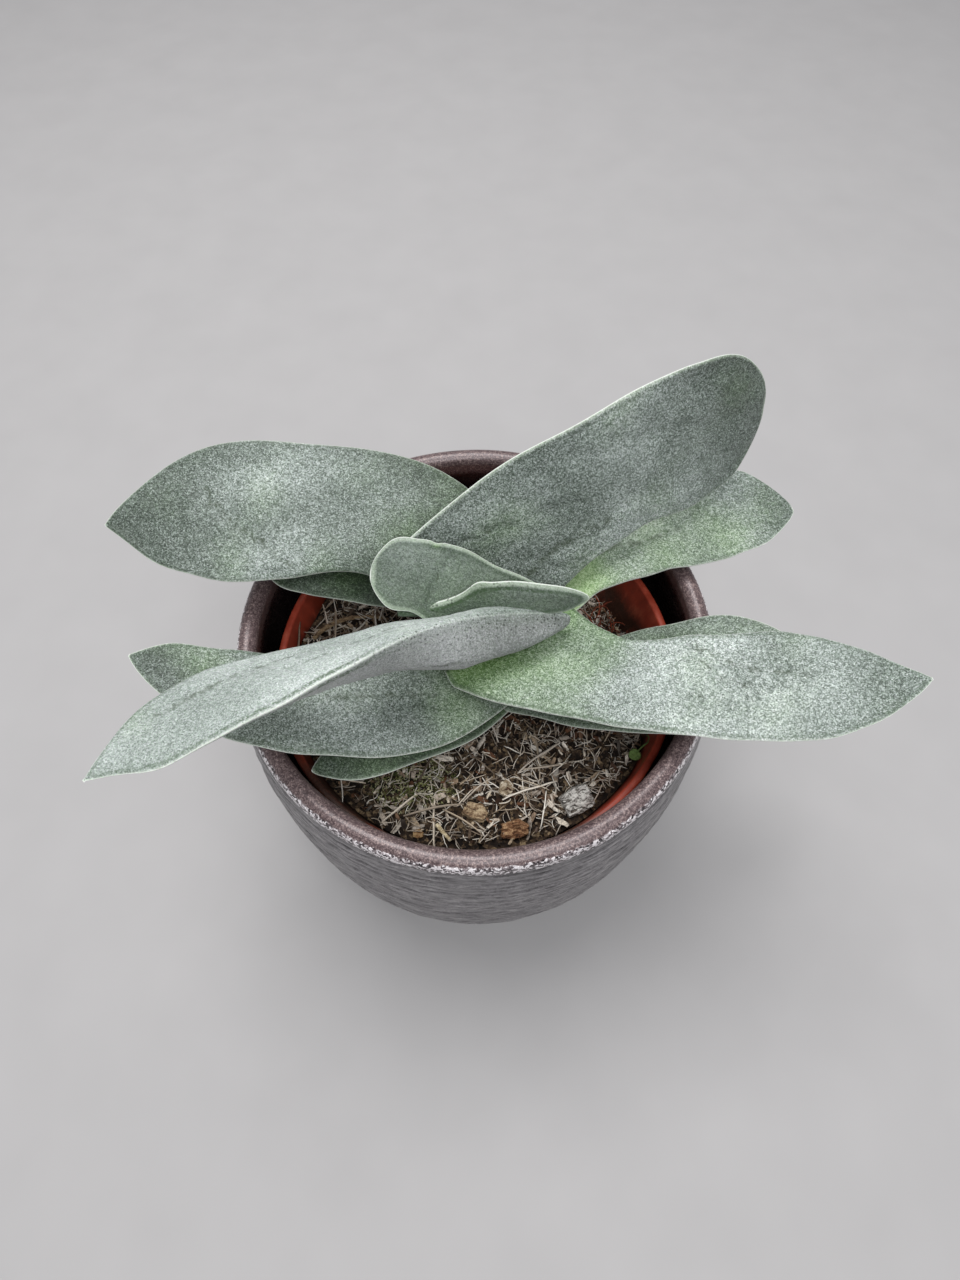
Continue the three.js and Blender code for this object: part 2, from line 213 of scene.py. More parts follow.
wave_phase = plus(t, times(t, calc(t, "DIVIDE", split[2], given["Ridge Pitch"]), 2 * math.pi),
                  times(t, pot_noise(26 * MM, 14 * MM), 6))
broken = ease(t, pot_noise(8 * MM, 2.4 * MM), -0.1, 0.1, 0.15, 0.9)
ridges = times(t, calc(t, "SINE", wave_phase), broken)
ridges = plus(t, ridges, times(t, pot_noise(4.5 * MM, 1.0 * MM), 1.3))
on_wall = times(t, ease(t, zone, 0.5, 0.05),
                ease(t, split[2], given["Ridge Foot"], plus(t, given["Ridge Foot"], 3 * MM)))
ridged = times(t, ridges, on_wall, given["Ridge Height"])
off_axis = ease(t, split[0], 0.0, 10 * MM)
wobble = times(t, pot_noise(45 * MM, 60 * MM), given["Wobble"], off_axis)
radius = plus(t, split[0], ridged, wobble)
around = wire(t, "ShaderNodeCombineXYZ", {
    0: times(t, cosine, radius), 1: times(t, sine, radius), 2: split[2]}).outputs[0]
shaped = wire(t, "GeometryNodeStoreNamedAttribute",
              {"Geometry": grid.outputs[0], "Name": "zone", "Value": zone},
              data_type="FLOAT", domain="POINT").outputs[0]
shaped = wire(t, "GeometryNodeStoreNamedAttribute", {
    "Geometry": shaped, "Name": "crest", "Value": times(t, ridges, on_wall)},
              data_type="FLOAT", domain="POINT").outputs[0]
shaped = wire(t, "GeometryNodeSetPosition", {"Geometry": shaped, "Position": around}).outputs[0]
shaped = wire(t, "GeometryNodeMergeByDistance", {"Geometry": shaped, "Distance": 1e-6}).outputs[0]
shaped = wire(t, "GeometryNodeSetShadeSmooth", {"Geometry": shaped}).outputs[0]
shaped = wire(t, "GeometryNodeRealizeInstances", {"Geometry": shaped}).outputs[0]
shaped = wire(t, "GeometryNodeSetMaterial",
              {"Geometry": shaped, "Material": given["Material"]}).outputs[0]
t.links.new(shaped, way_out)


class Finish:
    """A material while it is being mixed: its tree, its shader and the usual nodes."""

    def __init__(self, name, **constants):
        self.material = bpy.data.materials.new(name)
        self.material.use_nodes = True
        self.tree = self.material.node_tree
        self.shader = self.tree.nodes["Principled BSDF"]
        for socket, value in constants.items():
            self.shader.inputs[socket.replace("_", " ")].default_value = value
        self.place = self.node("ShaderNodeTexCoord").outputs["Object"]

    def node(self, kind, inputs=None, **settings):
        return wire(self.tree, kind, inputs, **settings)

    def calc(self, operation, *values, clamp=False):
        return calc(self.tree, operation, *values, clamp=clamp)

    def times(self, *values):
        return times(self.tree, *values)

    def plus(self, *values):
        return plus(self.tree, *values)

    def ease(self, value, start, end, low=0.0, high=1.0):
        return ease(self.tree, value, start, end, low, high)

    def mark(self, name):
        return self.node("ShaderNodeAttribute", attribute_name=name,
                         attribute_type="GEOMETRY").outputs["Fac"]

    def stretched(self, x=1.0, y=1.0, z=1.0):
        return self.node("ShaderNodeMapping", {"Vector": self.place, "Scale": (x, y, z)}).outputs[0]

    def grain(self, size, detail=2.0, rough=0.55, vector=None, bend=0.0):
        """Cloudy noise from 0 to 1 with features of the given size in millimetres."""
        return self.node("ShaderNodeTexNoise", {
            "Vector": vector or self.place, "Scale": 1 / (size * MM), "Detail": detail,
            "Roughness": rough,
            "Distortion": bend}).outputs[0]

    def cells(self, size, output="Color"):
        """A value from 0 to 1 for each cell, or the distance from the middle of the nearest cell."""
        made = self.node("ShaderNodeTexVoronoi",
                         {"Vector": self.place, "Scale": 1 / (size * MM)}).outputs[output]
        if output == "Color":
            made = self.node("ShaderNodeSeparateColor", {0: made}).outputs[0]
        return made

    def mix(self, share, first, second):
        return self.node("ShaderNodeMix", {0: share, 6: first, 7: second}, data_type="RGBA").outputs[2]

    def ramp(self, value, *stops):
        node = self.node("ShaderNodeValToRGB", {0: value})
        band = node.color_ramp.elements
        while len(band) < len(stops):
            band.new(0.5)
        for element, (at, code) in zip(band, stops):
            element.position = at
            element.color = shade(code)
        return node.outputs[0]

    def paint(self, colour, roughness=None, bumps=(), **links):
        """Joins colour, roughness and bumps of (height, strength, millimetres) to the shader."""
        self.tree.links.new(colour, self.shader.inputs["Base Color"])
        if roughness is not None:
            self.tree.links.new(roughness, self.shader.inputs["Roughness"])
        normal = None
        for height, strength, depth in bumps:
            inputs = {"Height": height, "Strength": strength, "Distance": depth * MM}
            if normal:
                inputs["Normal"] = normal
            normal = self.node("ShaderNodeBump", inputs).outputs[0]
        if normal:
            self.tree.links.new(normal, self.shader.inputs["Normal"])
        for socket, value in links.items():
            self.tree.links.new(value, self.shader.inputs[socket.replace("_", " ")])
        return self.material


def shade(code):
    """A paint colour from its usual six-figure code."""
    parts = [int(code[i:i + 2], 16) / 255 for i in (1, 3, 5)]
    return tuple(p / 12.92 if p <= 0.04045 else ((p + 0.055) / 1.055) ** 2.4 for p in parts) + (1.0,)


def glaze_finish():
    f = Finish("metallic_glaze", Coat_Weight=0.25, Coat_Roughness=0.25)
    zone = f.mark("zone")
    cloud, fine, dust = f.grain(9, 3), f.grain(0.7, 3, 0.7), f.grain(0.35, 1)
    streak = f.grain(1, 4, 0.7, f.stretched(0.26, 0.26, 1.5))
    layers = f.calc("MULTIPLY_ADD", f.mark("crest"), 0.11, f.times(streak, 0.55))
    layers = f.calc("MULTIPLY_ADD", cloud, 0.15, f.calc("MULTIPLY_ADD", fine, 0.3, layers))
    wall = f.ramp(layers, (0.34, "#3d3a3b"), (0.5, "#767375"), (0.66, "#a5a1a2"))
    lip = f.ramp(f.plus(f.times(fine, 0.6), f.times(dust, 0.4)),
                 (0.3, "#3a2d2e"), (0.5, "#655455"), (0.72, "#a8948f"))
    inside = f.ramp(cloud, (0.3, "#1d1515"), (0.7, "#3b302f"))
    flake = f.cells(0.52)
    sparkle = f.ramp(f.plus(f.times(flake, 0.75), f.times(dust, 0.25)),
                     (0.15, "#1c1517"), (0.36, "#554b4e"), (0.52, "#b0a5a8"), (0.68, "#fcf6f8"))
    ragged = f.calc("MULTIPLY_ADD", f.calc("SUBTRACT", f.grain(1.6, 3, 0.7), 0.5), 1.0, zone)
    colour = f.mix(f.ease(ragged, 0.1, 0.5), wall, sparkle)
    colour = f.mix(f.ease(ragged, 1.4, 1.8), colour, lip)
    colour = f.mix(f.ease(zone, 2.35, 2.9), colour, inside)
    at_edge = f.times(f.ease(ragged, 0.3, 0.8), f.ease(ragged, 1.8, 1.3))
    roughness = f.plus(f.ease(fine, 0.3, 0.7, 0.3, 0.46), f.ease(zone, 2.2, 2.9, 0.0, -0.12))
    metal = f.plus(f.ease(zone, 0.9, 0.2, 0.12, 0.35), f.times(at_edge, 0.1))
    return f.paint(colour, roughness, [
        (streak, 0.5, 0.25), (fine, 0.25, 0.12), (f.times(flake, at_edge), 0.8, 0.35)],
        Metallic=metal)


wall_line = [(place, max(ZONE_WALL, (place[1] / MM - 95.5) / 2))
             for place in rounded(WALL_PLACES, 230)]
lip_line = []
for degrees in range(8, 180, 8):
    a = math.radians(degrees)
    lip_line.append(((POT_LIP_CENTRE[0] + POT_LIP_RADIUS * math.cos(a),
                      POT_LIP_CENTRE[1] + POT_LIP_RADIUS * math.sin(a)),
                     ZONE_EDGE + min(1.0, max(0, degrees - 20) / 40)))
inside_line = [(place, min(ZONE_INSIDE, ZONE_LIP + (97.5 * MM - place[1]) / (5 * MM)))
               for place in rounded(INSIDE_PLACES, 70)]
foot_line = [((POT_FOOT * k / 6, 0.0), ZONE_WALL) for k in range(6)]
floor_line = [((42 * MM * (5 - k) / 6, 6 * MM), ZONE_INSIDE) for k in range(6)]
glaze = glaze_finish()
pot = outline(foot_line + wall_line + lip_line + inside_line + floor_line, "outer_pot")
made_by(turned_pot, pot, Sides=POT_SIDES, Material=glaze, Seed=3.0,
        **{"Ridge Height": 0.42 * MM, "Ridge Pitch": 2.6 * MM, "Ridge Foot": 5 * MM,
           "Wobble": 0.8 * MM})
faces_out(pot)
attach(pot, "root")
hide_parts("cache_pot")

# ---------------------------------------------------------------- nursery pot
# The grower's own pot: thin brick-red polypropylene, vacuum formed, with a turned-out rim and
# eight drain holes. It stands on the outer pot's floor, pushed to the front of it.
NURSERY_Y = -2.8 * MM
NURSERY_FOOT, NURSERY_TOP = 6.3, 88.0
NURSERY_BASE, NURSERY_RIM, NURSERY_WALL, NURSERY_SKIRT = 38.0, 52.5, 0.9, 9.0
DRAIN_HOLES, DRAIN_RADIUS, DRAIN_CIRCLE = 8, 3.5 * MM, 27 * MM


def nursery_inside(height):
    """Radius of the inner face at a height, both in millimetres."""
    share = (height - NURSERY_FOOT) / (NURSERY_TOP - NURSERY_FOOT)
    return NURSERY_BASE - NURSERY_WALL + share * (NURSERY_RIM - 2 - NURSERY_BASE + NURSERY_WALL)


def plastic_finish():
    f = Finish("nursery_plastic", Specular_IOR_Level=0.4)
    across, back, height = f.node("ShaderNodeSeparateXYZ", {0: f.place}).outputs
    smear = f.grain(5, 5, 0.65, f.stretched(1, 1, 0.35))
    scuff = f.grain(0.5, 3, 0.7)
    plastic = f.ramp(smear, (0.3, "#85301f"), (0.55, "#a8432f"), (0.75, "#bd6349"))
    # Towards the bottom the inner wall takes a dark brown: partly soil stain, partly painted shade
    # down in the gap between the shrunken root ball and the wall.
    darkened = f.ease(f.plus(height, f.times(f.calc("SUBTRACT", smear, 0.5), 12 * MM)), 84 * MM,
                    76 * MM)
    dirt_and_shade = f.ramp(scuff, (0.35, "#2a1712"), (0.7, "#5a3a2c"))
    # Painted shade: the front of the pot, which lies in shadow, takes the same dark brown in patches.
    front = f.times(f.ease(back, -20 * MM, -38 * MM), f.ease(smear, 0.2, 0.45))
    front = f.times(front, f.ease(across, 34 * MM, 22 * MM))
    darkened = f.calc("MAXIMUM", f.times(darkened, f.ease(smear, 0.25, 0.5)), front)
    colour = f.mix(darkened, plastic, dirt_and_shade)
    return f.paint(colour, f.ease(smear, 0.3, 0.7, 0.36, 0.55),
                   [(scuff, 0.15, 0.1), (smear, 0.2, 0.3)])


skirt_foot = NURSERY_TOP - NURSERY_SKIRT
nursery_corners = [
    (0, NURSERY_FOOT), (NURSERY_BASE - 1, NURSERY_FOOT), (NURSERY_BASE, NURSERY_FOOT + 1),
    (nursery_inside(skirt_foot) + NURSERY_WALL, skirt_foot - 0.8), (NURSERY_RIM - 0.6, skirt_foot),
    (NURSERY_RIM, NURSERY_TOP - 0.6), (NURSERY_RIM - 0.15, NURSERY_TOP - 0.15),
    (NURSERY_RIM - 0.6, NURSERY_TOP),
    (NURSERY_RIM - 1.5, NURSERY_TOP), (NURSERY_RIM - 1.9, NURSERY_TOP - 0.2),
    (NURSERY_RIM - 2, NURSERY_TOP - 0.6),
    (nursery_inside(skirt_foot), skirt_foot), (nursery_inside(NURSERY_FOOT + 2), NURSERY_FOOT + 2),
    (NURSERY_BASE - 2.5, NURSERY_FOOT + NURSERY_WALL), (0, NURSERY_FOOT + NURSERY_WALL)]
nursery_line = []
for (r0, z0), (r1, z1) in zip(nursery_corners, nursery_corners[1:]):
    parts = max(1, int(math.hypot(r1 - r0, z1 - z0) / 2.5))
    nursery_line += [(((r0 + (r1 - r0) * k / parts) * MM, (z0 + (z1 - z0) * k / parts) * MM), 3.0)
                     for k in range(parts)]
nursery_line.append(((0.0, (NURSERY_FOOT + NURSERY_WALL) * MM), 3.0))
plastic = plastic_finish()
nursery_pot = outline(nursery_line, "nursery_pot_detail")
made_by(turned_pot, nursery_pot, Sides=160, Material=plastic, Seed=9.0, Wobble=0.5 * MM)
faces_out(nursery_pot)

drill = bmesh.new()
for i in range(DRAIN_HOLES):
    a = 2 * math.pi * i / DRAIN_HOLES
    at = Matrix.Translation((DRAIN_CIRCLE * math.cos(a), DRAIN_CIRCLE * math.sin(a),
                             NURSERY_FOOT * MM))
    bmesh.ops.create_cone(drill, cap_ends=True, segments=24, radius1=DRAIN_RADIUS,
                          radius2=DRAIN_RADIUS,
                          depth=4 * MM, matrix=at)
drill_mesh = bpy.data.meshes.new("drain_drill")
drill.to_mesh(drill_mesh)
drill.free()
drain_drill = in_scene("drain_drill", drill_mesh)
cut = nursery_pot.modifiers.new("drain holes", "BOOLEAN")
cut.operation, cut.solver, cut.object = "DIFFERENCE", "EXACT", drain_drill
graph = bpy.context.evaluated_depsgraph_get()
drilled = bpy.data.meshes.new_from_object(nursery_pot.evaluated_get(graph),
                                          preserve_all_data_layers=True, depsgraph=graph)
nursery_pot.modifiers.remove(cut)
nursery_pot.data = drilled
bpy.data.objects.remove(drain_drill)
nursery_pot.data.transform(Matrix.Translation((0, NURSERY_Y, 0)))
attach(nursery_pot, "root")
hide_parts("nursery_pot")

# ---------------------------------------------------------------- soil
# A dry peat root ball that fills the nursery pot and has shrunk away from its wall on the right.
# Its face is broken into crumbs; loose crumbs, root fibres, bark shreds and moss lie over it.
SOIL_TOP, SOIL_RIPPLE, SOIL_SLUMP = 81.0, 0.8, 12.0
SLUMP_HEADING, SLUMP_SPREAD, SLUMP_FROM = 25.0, 65.0, 27.0
SOIL_RINGS, SOIL_SIDE_ROWS, SOIL_SIDES = 84, 12, 300
STEM_X, STEM_Y = 6, 1
CHIP_SPLITS, CHIP_COVER, STEM_COVER = 22, 0.42, 8
SOIL_GAP, LITTER_REACH, MOSS_AT, MOSS_SIZE = 0.42, 47.3, (-16, -35), (12, 7)
CHIPS = {
    "bark_chip_brown": dict(at=(9.5, -46.5), turn=12, size=(7.5, 4.6, 2.4), lean=18, slot="bark"),
    "bark_chip_tan": dict(at=(0, -42.5), turn=-20, size=(6.4, 4.4, 1.8), lean=-10, slot="bark_pale"),
    "bark_chip_pale": dict(at=(7.5, -36.5), turn=70, size=(4.6, 3.6, 1.6), lean=12, slot="bark_pale"),
    "bark_chip_grey": dict(at=(25, -39.5), turn=30, size=(8, 6.4, 3.4), lean=20, slot="bark_pale",
                            blocky=True),
    "bark_chip_small": dict(at=(-14, -47.5), turn=5, size=(2.8, 2.2, 1.2), lean=8, slot="bark"),
}


def rise(value, start, end):
    t = np.clip((value - start) / (end - start), 0, 1)
    return t * t * (3 - 2 * t)


def soil_top(x, y):
    """Height of the soil at a place, in millimetres."""
    y_in = y - NURSERY_Y / MM
    off_heading = np.abs((np.degrees(np.arctan2(y_in, x)) - SLUMP_HEADING + 180) % 360 - 180)
    slump = SOIL_SLUMP * rise(np.hypot(x, y_in), SLUMP_FROM, NURSERY_RIM - 8)
    slump = slump * (1 - rise(off_heading, 0.35 * SLUMP_SPREAD, SLUMP_SPREAD))
    return SOIL_TOP - slump + SOIL_RIPPLE * (np.sin(x / 7 + 1) * np.cos(y / 6)
                                             + np.sin((x + y) / 4.3))


def peat_finish():
    f = Finish("peat", Specular_IOR_Level=0.25)
    clod, crumb, dust = f.grain(3.2, 4, 0.65), f.cells(0.9), f.grain(0.4, 2, 0.7)
    mixed = f.plus(f.times(clod, 0.5), f.times(crumb, 0.35))
    mixed = f.plus(mixed, f.times(dust, 0.25))
    colour = f.ramp(mixed, (0.3, "#0a0705"), (0.48, "#1e1611"), (0.64, "#463729"), (0.82, "#937f63"))
    green = f.times(f.mark("mossy"), f.ease(f.grain(1.6, 3, 0.7), 0.45, 0.6))
    colour = f.mix(f.times(green, 0.75), colour, shade("#4c5a2c"))
    return f.paint(colour, f.ease(dust, 0.2, 0.8, 0.8, 1.0), [
        (clod, 0.8, 1.2), (f.cells(0.9, "Distance"), 0.7, 0.5), (dust, 0.6, 0.25)])


soil_foot = NURSERY_FOOT + NURSERY_WALL + 0.3
soil_points, soil_open, soil_mossy = [(0.0, 0.0, 0.0)], [1.0], [0.0]
soil_rows = [("top", k / SOIL_RINGS) for k in range(1, SOIL_RINGS + 1)] + [
    ("side", k / SOIL_SIDE_ROWS) for k in range(1, SOIL_SIDE_ROWS + 1)]
for part, share in soil_rows:
    for i in range(SOIL_SIDES):
        a = 2 * math.pi * i / SOIL_SIDES
        edge = nursery_inside(SOIL_TOP) - SOIL_GAP
        for _ in range(3):
            low_edge = float(soil_top(edge * math.cos(a), edge * math.sin(a) + NURSERY_Y / MM))
            edge = nursery_inside(low_edge) - SOIL_GAP
        if part == "top":
            r = edge * share
            x, y = r * math.cos(a), r * math.sin(a) + NURSERY_Y / MM
            z = float(soil_top(x, y))
            at = Vector((x, y, 7.0))
            lumps = noise.fractal(at / 3.4, 0.9, 2.1, 3) * 0.9 + noise.noise(at / 1.1) * 0.35
            z += lumps * (1 - share ** 12) - 0.3
        else:
            z = low_edge + (soil_foot - low_edge) * share
            r = nursery_inside(z) - SOIL_GAP if share < 1 else NURSERY_BASE - 3
            x, y = r * math.cos(a), r * math.sin(a) + NURSERY_Y / MM
        soil_points.append((x * MM, y * MM, z * MM))
        top_row = part == "top"
        covered = any(math.hypot(x - c["at"][0], y - c["at"][1]) < CHIP_COVER * c["size"][0]
                      for c in CHIPS.values())
        by_stem = math.hypot(x - STEM_X, y - STEM_Y) <= STEM_COVER
        soil_open.append(1.0 if top_row and r < LITTER_REACH and not covered and not by_stem else 0.0)
        mossy_x, mossy_y = (x - MOSS_AT[0]) / MOSS_SIZE[0], (y - MOSS_AT[1]) / MOSS_SIZE[1]
        near = math.hypot(mossy_x, mossy_y) if top_row else 9
        soil_mossy.append(max(0.0, 1 - near * near * 0.8))
soil_points[0] = (0.0, NURSERY_Y, float(soil_top(0.0, NURSERY_Y / MM)) * MM)
soil_points.append((0.0, NURSERY_Y, soil_foot * MM))
soil_open.append(0.0)
soil_mossy.append(0.0)
soil_faces = [(0, 1 + i, 1 + (i + 1) % SOIL_SIDES) for i in range(SOIL_SIDES)]
for k in range(len(soil_rows) - 1):
    for i in range(SOIL_SIDES):
        a, b = 1 + k * SOIL_SIDES + i, 1 + k * SOIL_SIDES + (i + 1) % SOIL_SIDES
        soil_faces.append((a, a + SOIL_SIDES, b + SOIL_SIDES, b))
last_row = 1 + (len(soil_rows) - 1) * SOIL_SIDES
soil_faces += [(last_row + i, len(soil_points) - 1, last_row + (i + 1) % SOIL_SIDES)
               for i in range(SOIL_SIDES)]
soil = faces_out(piece("root_ball", soil_points, soil_faces, open=soil_open, mossy=soil_mossy))
peat = peat_finish()
soil.data.materials.append(peat)
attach(soil, "root")
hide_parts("soil")


def strewn_finish(name, *tints, rough=(0.65, 0.9), fleck=0.5, darkened=0.6):
    """A finish for many small bits: each bit takes its own tint from the range."""
    f = Finish(name, Specular_IOR_Level=0.3)
    colour = f.ramp(f.mark("tint"), *[(i / (len(tints) - 1), code) for i, code in enumerate(tints)])
    speck = f.grain(fleck, 3, 0.7)
    colour = f.mix(f.ease(speck, 0.32, 0.58, darkened, 0.0), colour, shade("#1c140e"))
    return f.paint(colour, f.ease(speck, 0.3, 0.7, *rough), [(speck, 0.6, 0.2)])


strewn, given, way_out = new_tree("strewn bits", [
    ("Bit A", "Object", None), ("Bit B", "Object", None), ("Bit C", "Object", None),
    ("Bit D", "Object", None), ("Where", "String", "open"), ("Density", "Float", 1000.0),
    ("Smallest", "Float", 0.5), ("Largest", "Float", 1.5), ("Tilt", "Float", 0.4),
    ("Lift", "Float", 0.0), ("Seed", "Int", 1), ("Material", "Material", None),
])
t = strewn
bits = wire(t, "GeometryNodeJoinGeometry")
for label in ("Bit D", "Bit C", "Bit B", "Bit A"):
    bit = wire(t, "GeometryNodeObjectInfo", {"Object": given[label]},
               transform_space="ORIGINAL").outputs["Geometry"]
    t.links.new(wire(t, "GeometryNodeGeometryToInstance", {0: bit}).outputs[0], bits.inputs[0])
chance = wire(t, "GeometryNodeInputNamedAttribute", {"Name": given["Where"]},
              data_type="FLOAT").outputs[0]
spread = wire(t, "GeometryNodeDistributePointsOnFaces", {
    "Mesh": given["Geometry"], "Density": times(t, given["Density"], chance),
    "Seed": given["Seed"]}).outputs[0]
spread = wire(t, "GeometryNodeSetPosition", {
    "Geometry": spread,
    "Offset": wire(t, "ShaderNodeCombineXYZ", {2: given["Lift"]}).outputs[0]}).outputs[0]


def dice(low, high, kind, offset):
    node = wire(t, "FunctionNodeRandomValue", data_type=kind)
    for label, value in (("Min", low), ("Max", high), ("Seed", plus(t, given["Seed"], offset))):
        socket = [s for s in node.inputs if s.name == label and s.enabled][0]
        if isinstance(value, bpy.types.NodeSocket):
            t.links.new(value, socket)
        else:
            socket.default_value = value
    return [s for s in node.outputs if s.enabled][0]


back_tilt = times(t, given["Tilt"], -1)
turned_by = dice(wire(t, "ShaderNodeCombineXYZ", {0: back_tilt, 1: back_tilt, 2: 0.0}).outputs[0],
                 wire(t, "ShaderNodeCombineXYZ",
                      {0: given["Tilt"], 1: given["Tilt"], 2: 2 * math.pi}).outputs[0],
                 "FLOAT_VECTOR", 1)
placed = wire(t, "GeometryNodeInstanceOnPoints", {
    "Points": spread, "Instance": bits.outputs[0], "Pick Instance": True,
    "Instance Index": dice(0, 3, "INT", 2),
    "Rotation": turned_by, "Scale": dice(given["Smallest"], given["Largest"], "FLOAT", 3)}).outputs[0]
placed = wire(t, "GeometryNodeStoreNamedAttribute", {
    "Geometry": placed, "Name": "tint", "Value": dice(0.0, 1.0, "FLOAT", 4)}, data_type="FLOAT",
    domain="INSTANCE").outputs[0]
placed = wire(t, "GeometryNodeRealizeInstances", {"Geometry": placed}).outputs[0]
placed = wire(t, "GeometryNodeSetMaterial",
              {"Geometry": placed, "Material": given["Material"]}).outputs[0]
t.links.new(placed, way_out)


def tube(path, radii, sides=3):
    """Points and faces of a thin rod along a path; both are in millimetres."""
    path = [Vector(p) for p in path]
    points, faces = [], []
    for i, at in enumerate(path):
        ahead = (path[min(i + 1, len(path) - 1)] - path[max(i - 1, 0)]).normalized()
        side = ahead.cross(Vector((0.13, 0.08, 1))).normalized()
        up = side.cross(ahead)
        radius = radii[i] if isinstance(radii, (list, tuple)) else radii
        for k in range(sides):
            a = 2 * math.pi * k / sides
            points.append(at + side * (radius * math.cos(a)) + up * (radius * math.sin(a)))
    for i in range(len(path) - 1):
        for k in range(sides):
            a, b = i * sides + k, i * sides + (k + 1) % sides
            faces.append((a, b, b + sides, a + sides))
    last = (len(path) - 1) * sides
    faces += [tuple(reversed(range(sides))), tuple(last + k for k in range(sides))]
    return points, faces


def bit_objects(name, maker):
    """Four sample bits, made of millimetres, for the strewn tree to pick from."""
    samples = []
    for i in range(4):
        points, faces = maker(random.Random(name + str(i)))
        samples.append(faces_out(piece(f"{name}_{i}", [Vector(p) * MM for p in points], faces)))
    return samples


def strew(name, samples, finish, slot, **sizes):
    """Scatters the samples over the soil as one new piece."""
    obj = in_scene(name, soil.data.copy())
    labels = dict(zip(("Bit A", "Bit B", "Bit C", "Bit D"), samples))
    made_by(strewn, obj, Material=finish, **labels, **sizes)
    for sample in samples:
        bpy.data.objects.remove(sample)
    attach(obj, "root")
    return obj


def crumb(luck):
    shape = bmesh.new()
    bmesh.ops.create_icosphere(shape, subdivisions=1, radius=1)
    squash = Vector((luck.uniform(0.8, 1.2), luck.uniform(0.6, 0.9), luck.uniform(0.5, 0.8)))
    points = [Vector(v.co) * squash * luck.uniform(0.65, 1.15) for v in shape.verts]
    faces = [tuple(v.index for v in face.verts) for face in shape.faces]
    shape.free()
    return points, faces


def fibre(luck, length, thickness, bend, kink, steps=7):
    heading, climb, at = luck.uniform(-0.3, 0.3), luck.uniform(0.0, 0.3), Vector((-length / 2, 0, 0))
    turn = luck.uniform(-bend, bend)
    path = [at.copy()]
    for i in range(steps):
        heading += turn + luck.uniform(-kink, kink)
        climb = climb * 0.8 + luck.uniform(-0.2, 0.2)
        at = at + Vector((math.cos(heading), math.sin(heading), math.sin(climb))) * (length / steps)
        path.append(at.copy())
    return tube(path, [thickness * (1.15 - 0.9 * abs(i / steps - 0.45)) for i in range(steps + 1)])


def shred(luck):
    """A torn flake of bark or leaf litter, as a bent plate."""
    length, width, thickness = luck.uniform(1.6, 3.0), luck.uniform(0.7, 1.3), 0.12
    top, across = [], 4
    for i in range(5):
        for j in range(across):
            u, v = i / 4 - 0.5, j / (across - 1) - 0.5
            taper = 1 - 0.7 * abs(u) - luck.uniform(0, 0.25)
            top.append(Vector((u * length + luck.uniform(-0.1, 0.1), v * width * taper,
                               0.35 * math.sin(3 * u) + luck.uniform(-0.08, 0.08))))
    points = top + [p - Vector((0, 0, thickness)) for p in top]
    n, faces = len(top), []
    for i in range(4):
        for j in range(across - 1):
            a = i * across + j
            faces += [(a, a + across, a + across + 1, a + 1),
                      (n + a, n + a + 1, n + a + across + 1, n + a + across)]
    rim = ([j for j in range(across)] + [i * across + across - 1 for i in range(1, 5)]
           + [4 * across + j for j in range(across - 2, -1, -1)]
           + [i * across for i in range(3, 0, -1)])
    faces += [(a, b, n + b, n + a) for a, b in zip(rim, rim[1:] + rim[:1])]
    return points, faces


def moss_sprig(luck):
    """A tiny curled sprig of moss: three leaflets from one point."""
    points, faces = [], []
    for k in range(3):
        a = 2 * math.pi * k / 3 + luck.uniform(-0.5, 0.5)
        reach, lift = luck.uniform(0.5, 0.9), luck.uniform(0.3, 0.8)
        ahead, side = Vector((math.cos(a), math.sin(a), 0)), Vector((-math.sin(a), math.cos(a), 0))
        base = len(points)
        points += [side * -0.1, side * 0.1, ahead * reach * 0.5 + side * 0.16 + Vector((0, 0, lift)),
                   ahead * reach * 0.5 - side * 0.16 + Vector((0, 0, lift)),
                   ahead * reach + Vector((0, 0, lift * 0.7)),
                   Vector((0, 0, -0.15)), ahead * reach * 0.5 + Vector((0, 0, lift - 0.12))]
        b = base
        faces += [(b, b + 1, b + 2, b + 3), (b + 3, b + 2, b + 4), (b + 1, b, b + 5),
                  (b + 1, b + 5, b + 6, b + 2),
                  (b + 5, b, b + 3, b + 6), (b + 2, b + 6, b + 4), (b + 6, b + 3, b + 4)]
    return points, faces


strew("peat_crumbs", bit_objects("crumb", crumb),
      strewn_finish("peat_crumb", "#0c0806", "#211812", "#14100c", "#4c3e30", "#2a2019", "#85745f",
                    "#16110d"), "peat",
      Density=620000.0, Smallest=0.2, Largest=0.72, Lift=0.3 * MM, Seed=11, Tilt=1.5)
strew("bark_shreds", bit_objects("shred", shred),
      strewn_finish("shredded_bark", "#2d1d13", "#6a4731", "#c2b096", "#f4ecdf", "#24170f", "#9a8470",
                    "#ece3d5", "#4f3323"), "bark_pale",
      Density=170000.0, Smallest=0.3, Largest=1.8, Lift=0.9 * MM, Seed=23, Tilt=1.0)
straw = strewn_finish("straw", "#6a5848", "#d8cbb9", "#fbf6ec", "#96836f", "#f1e8da", "#4d3c2e",
                      "#c4b39d", "#fffaf0",
                      rough=(0.5, 0.75), darkened=0.3)
strew("root_fibres", bit_objects("fibre", lambda luck: fibre(luck, 5.0, 0.15, 0.14, 0.3)), straw,
      "straw",
      Density=400000.0, Smallest=0.25, Largest=1.1, Lift=1.0 * MM, Seed=31, Tilt=0.6)
strew("straw_stalks", bit_objects("stalk", lambda luck: fibre(luck, 13.0, 0.3, 0.03, 0.07)), straw,
      "straw",
      Density=19000.0, Smallest=0.35, Largest=1.25, Lift=1.8 * MM, Seed=47, Tilt=0.22)
strew("moss", bit_objects("sprig", moss_sprig),
      strewn_finish("moss", "#5c6632", "#8b8f55", "#b5b382", "#d8d3ae", "#747a40", "#e6e0c6"), "moss",
      Density=1500000.0, Smallest=0.5, Largest=1.4, Lift=0.9 * MM, Seed=59, Tilt=0.7, Where="mossy")

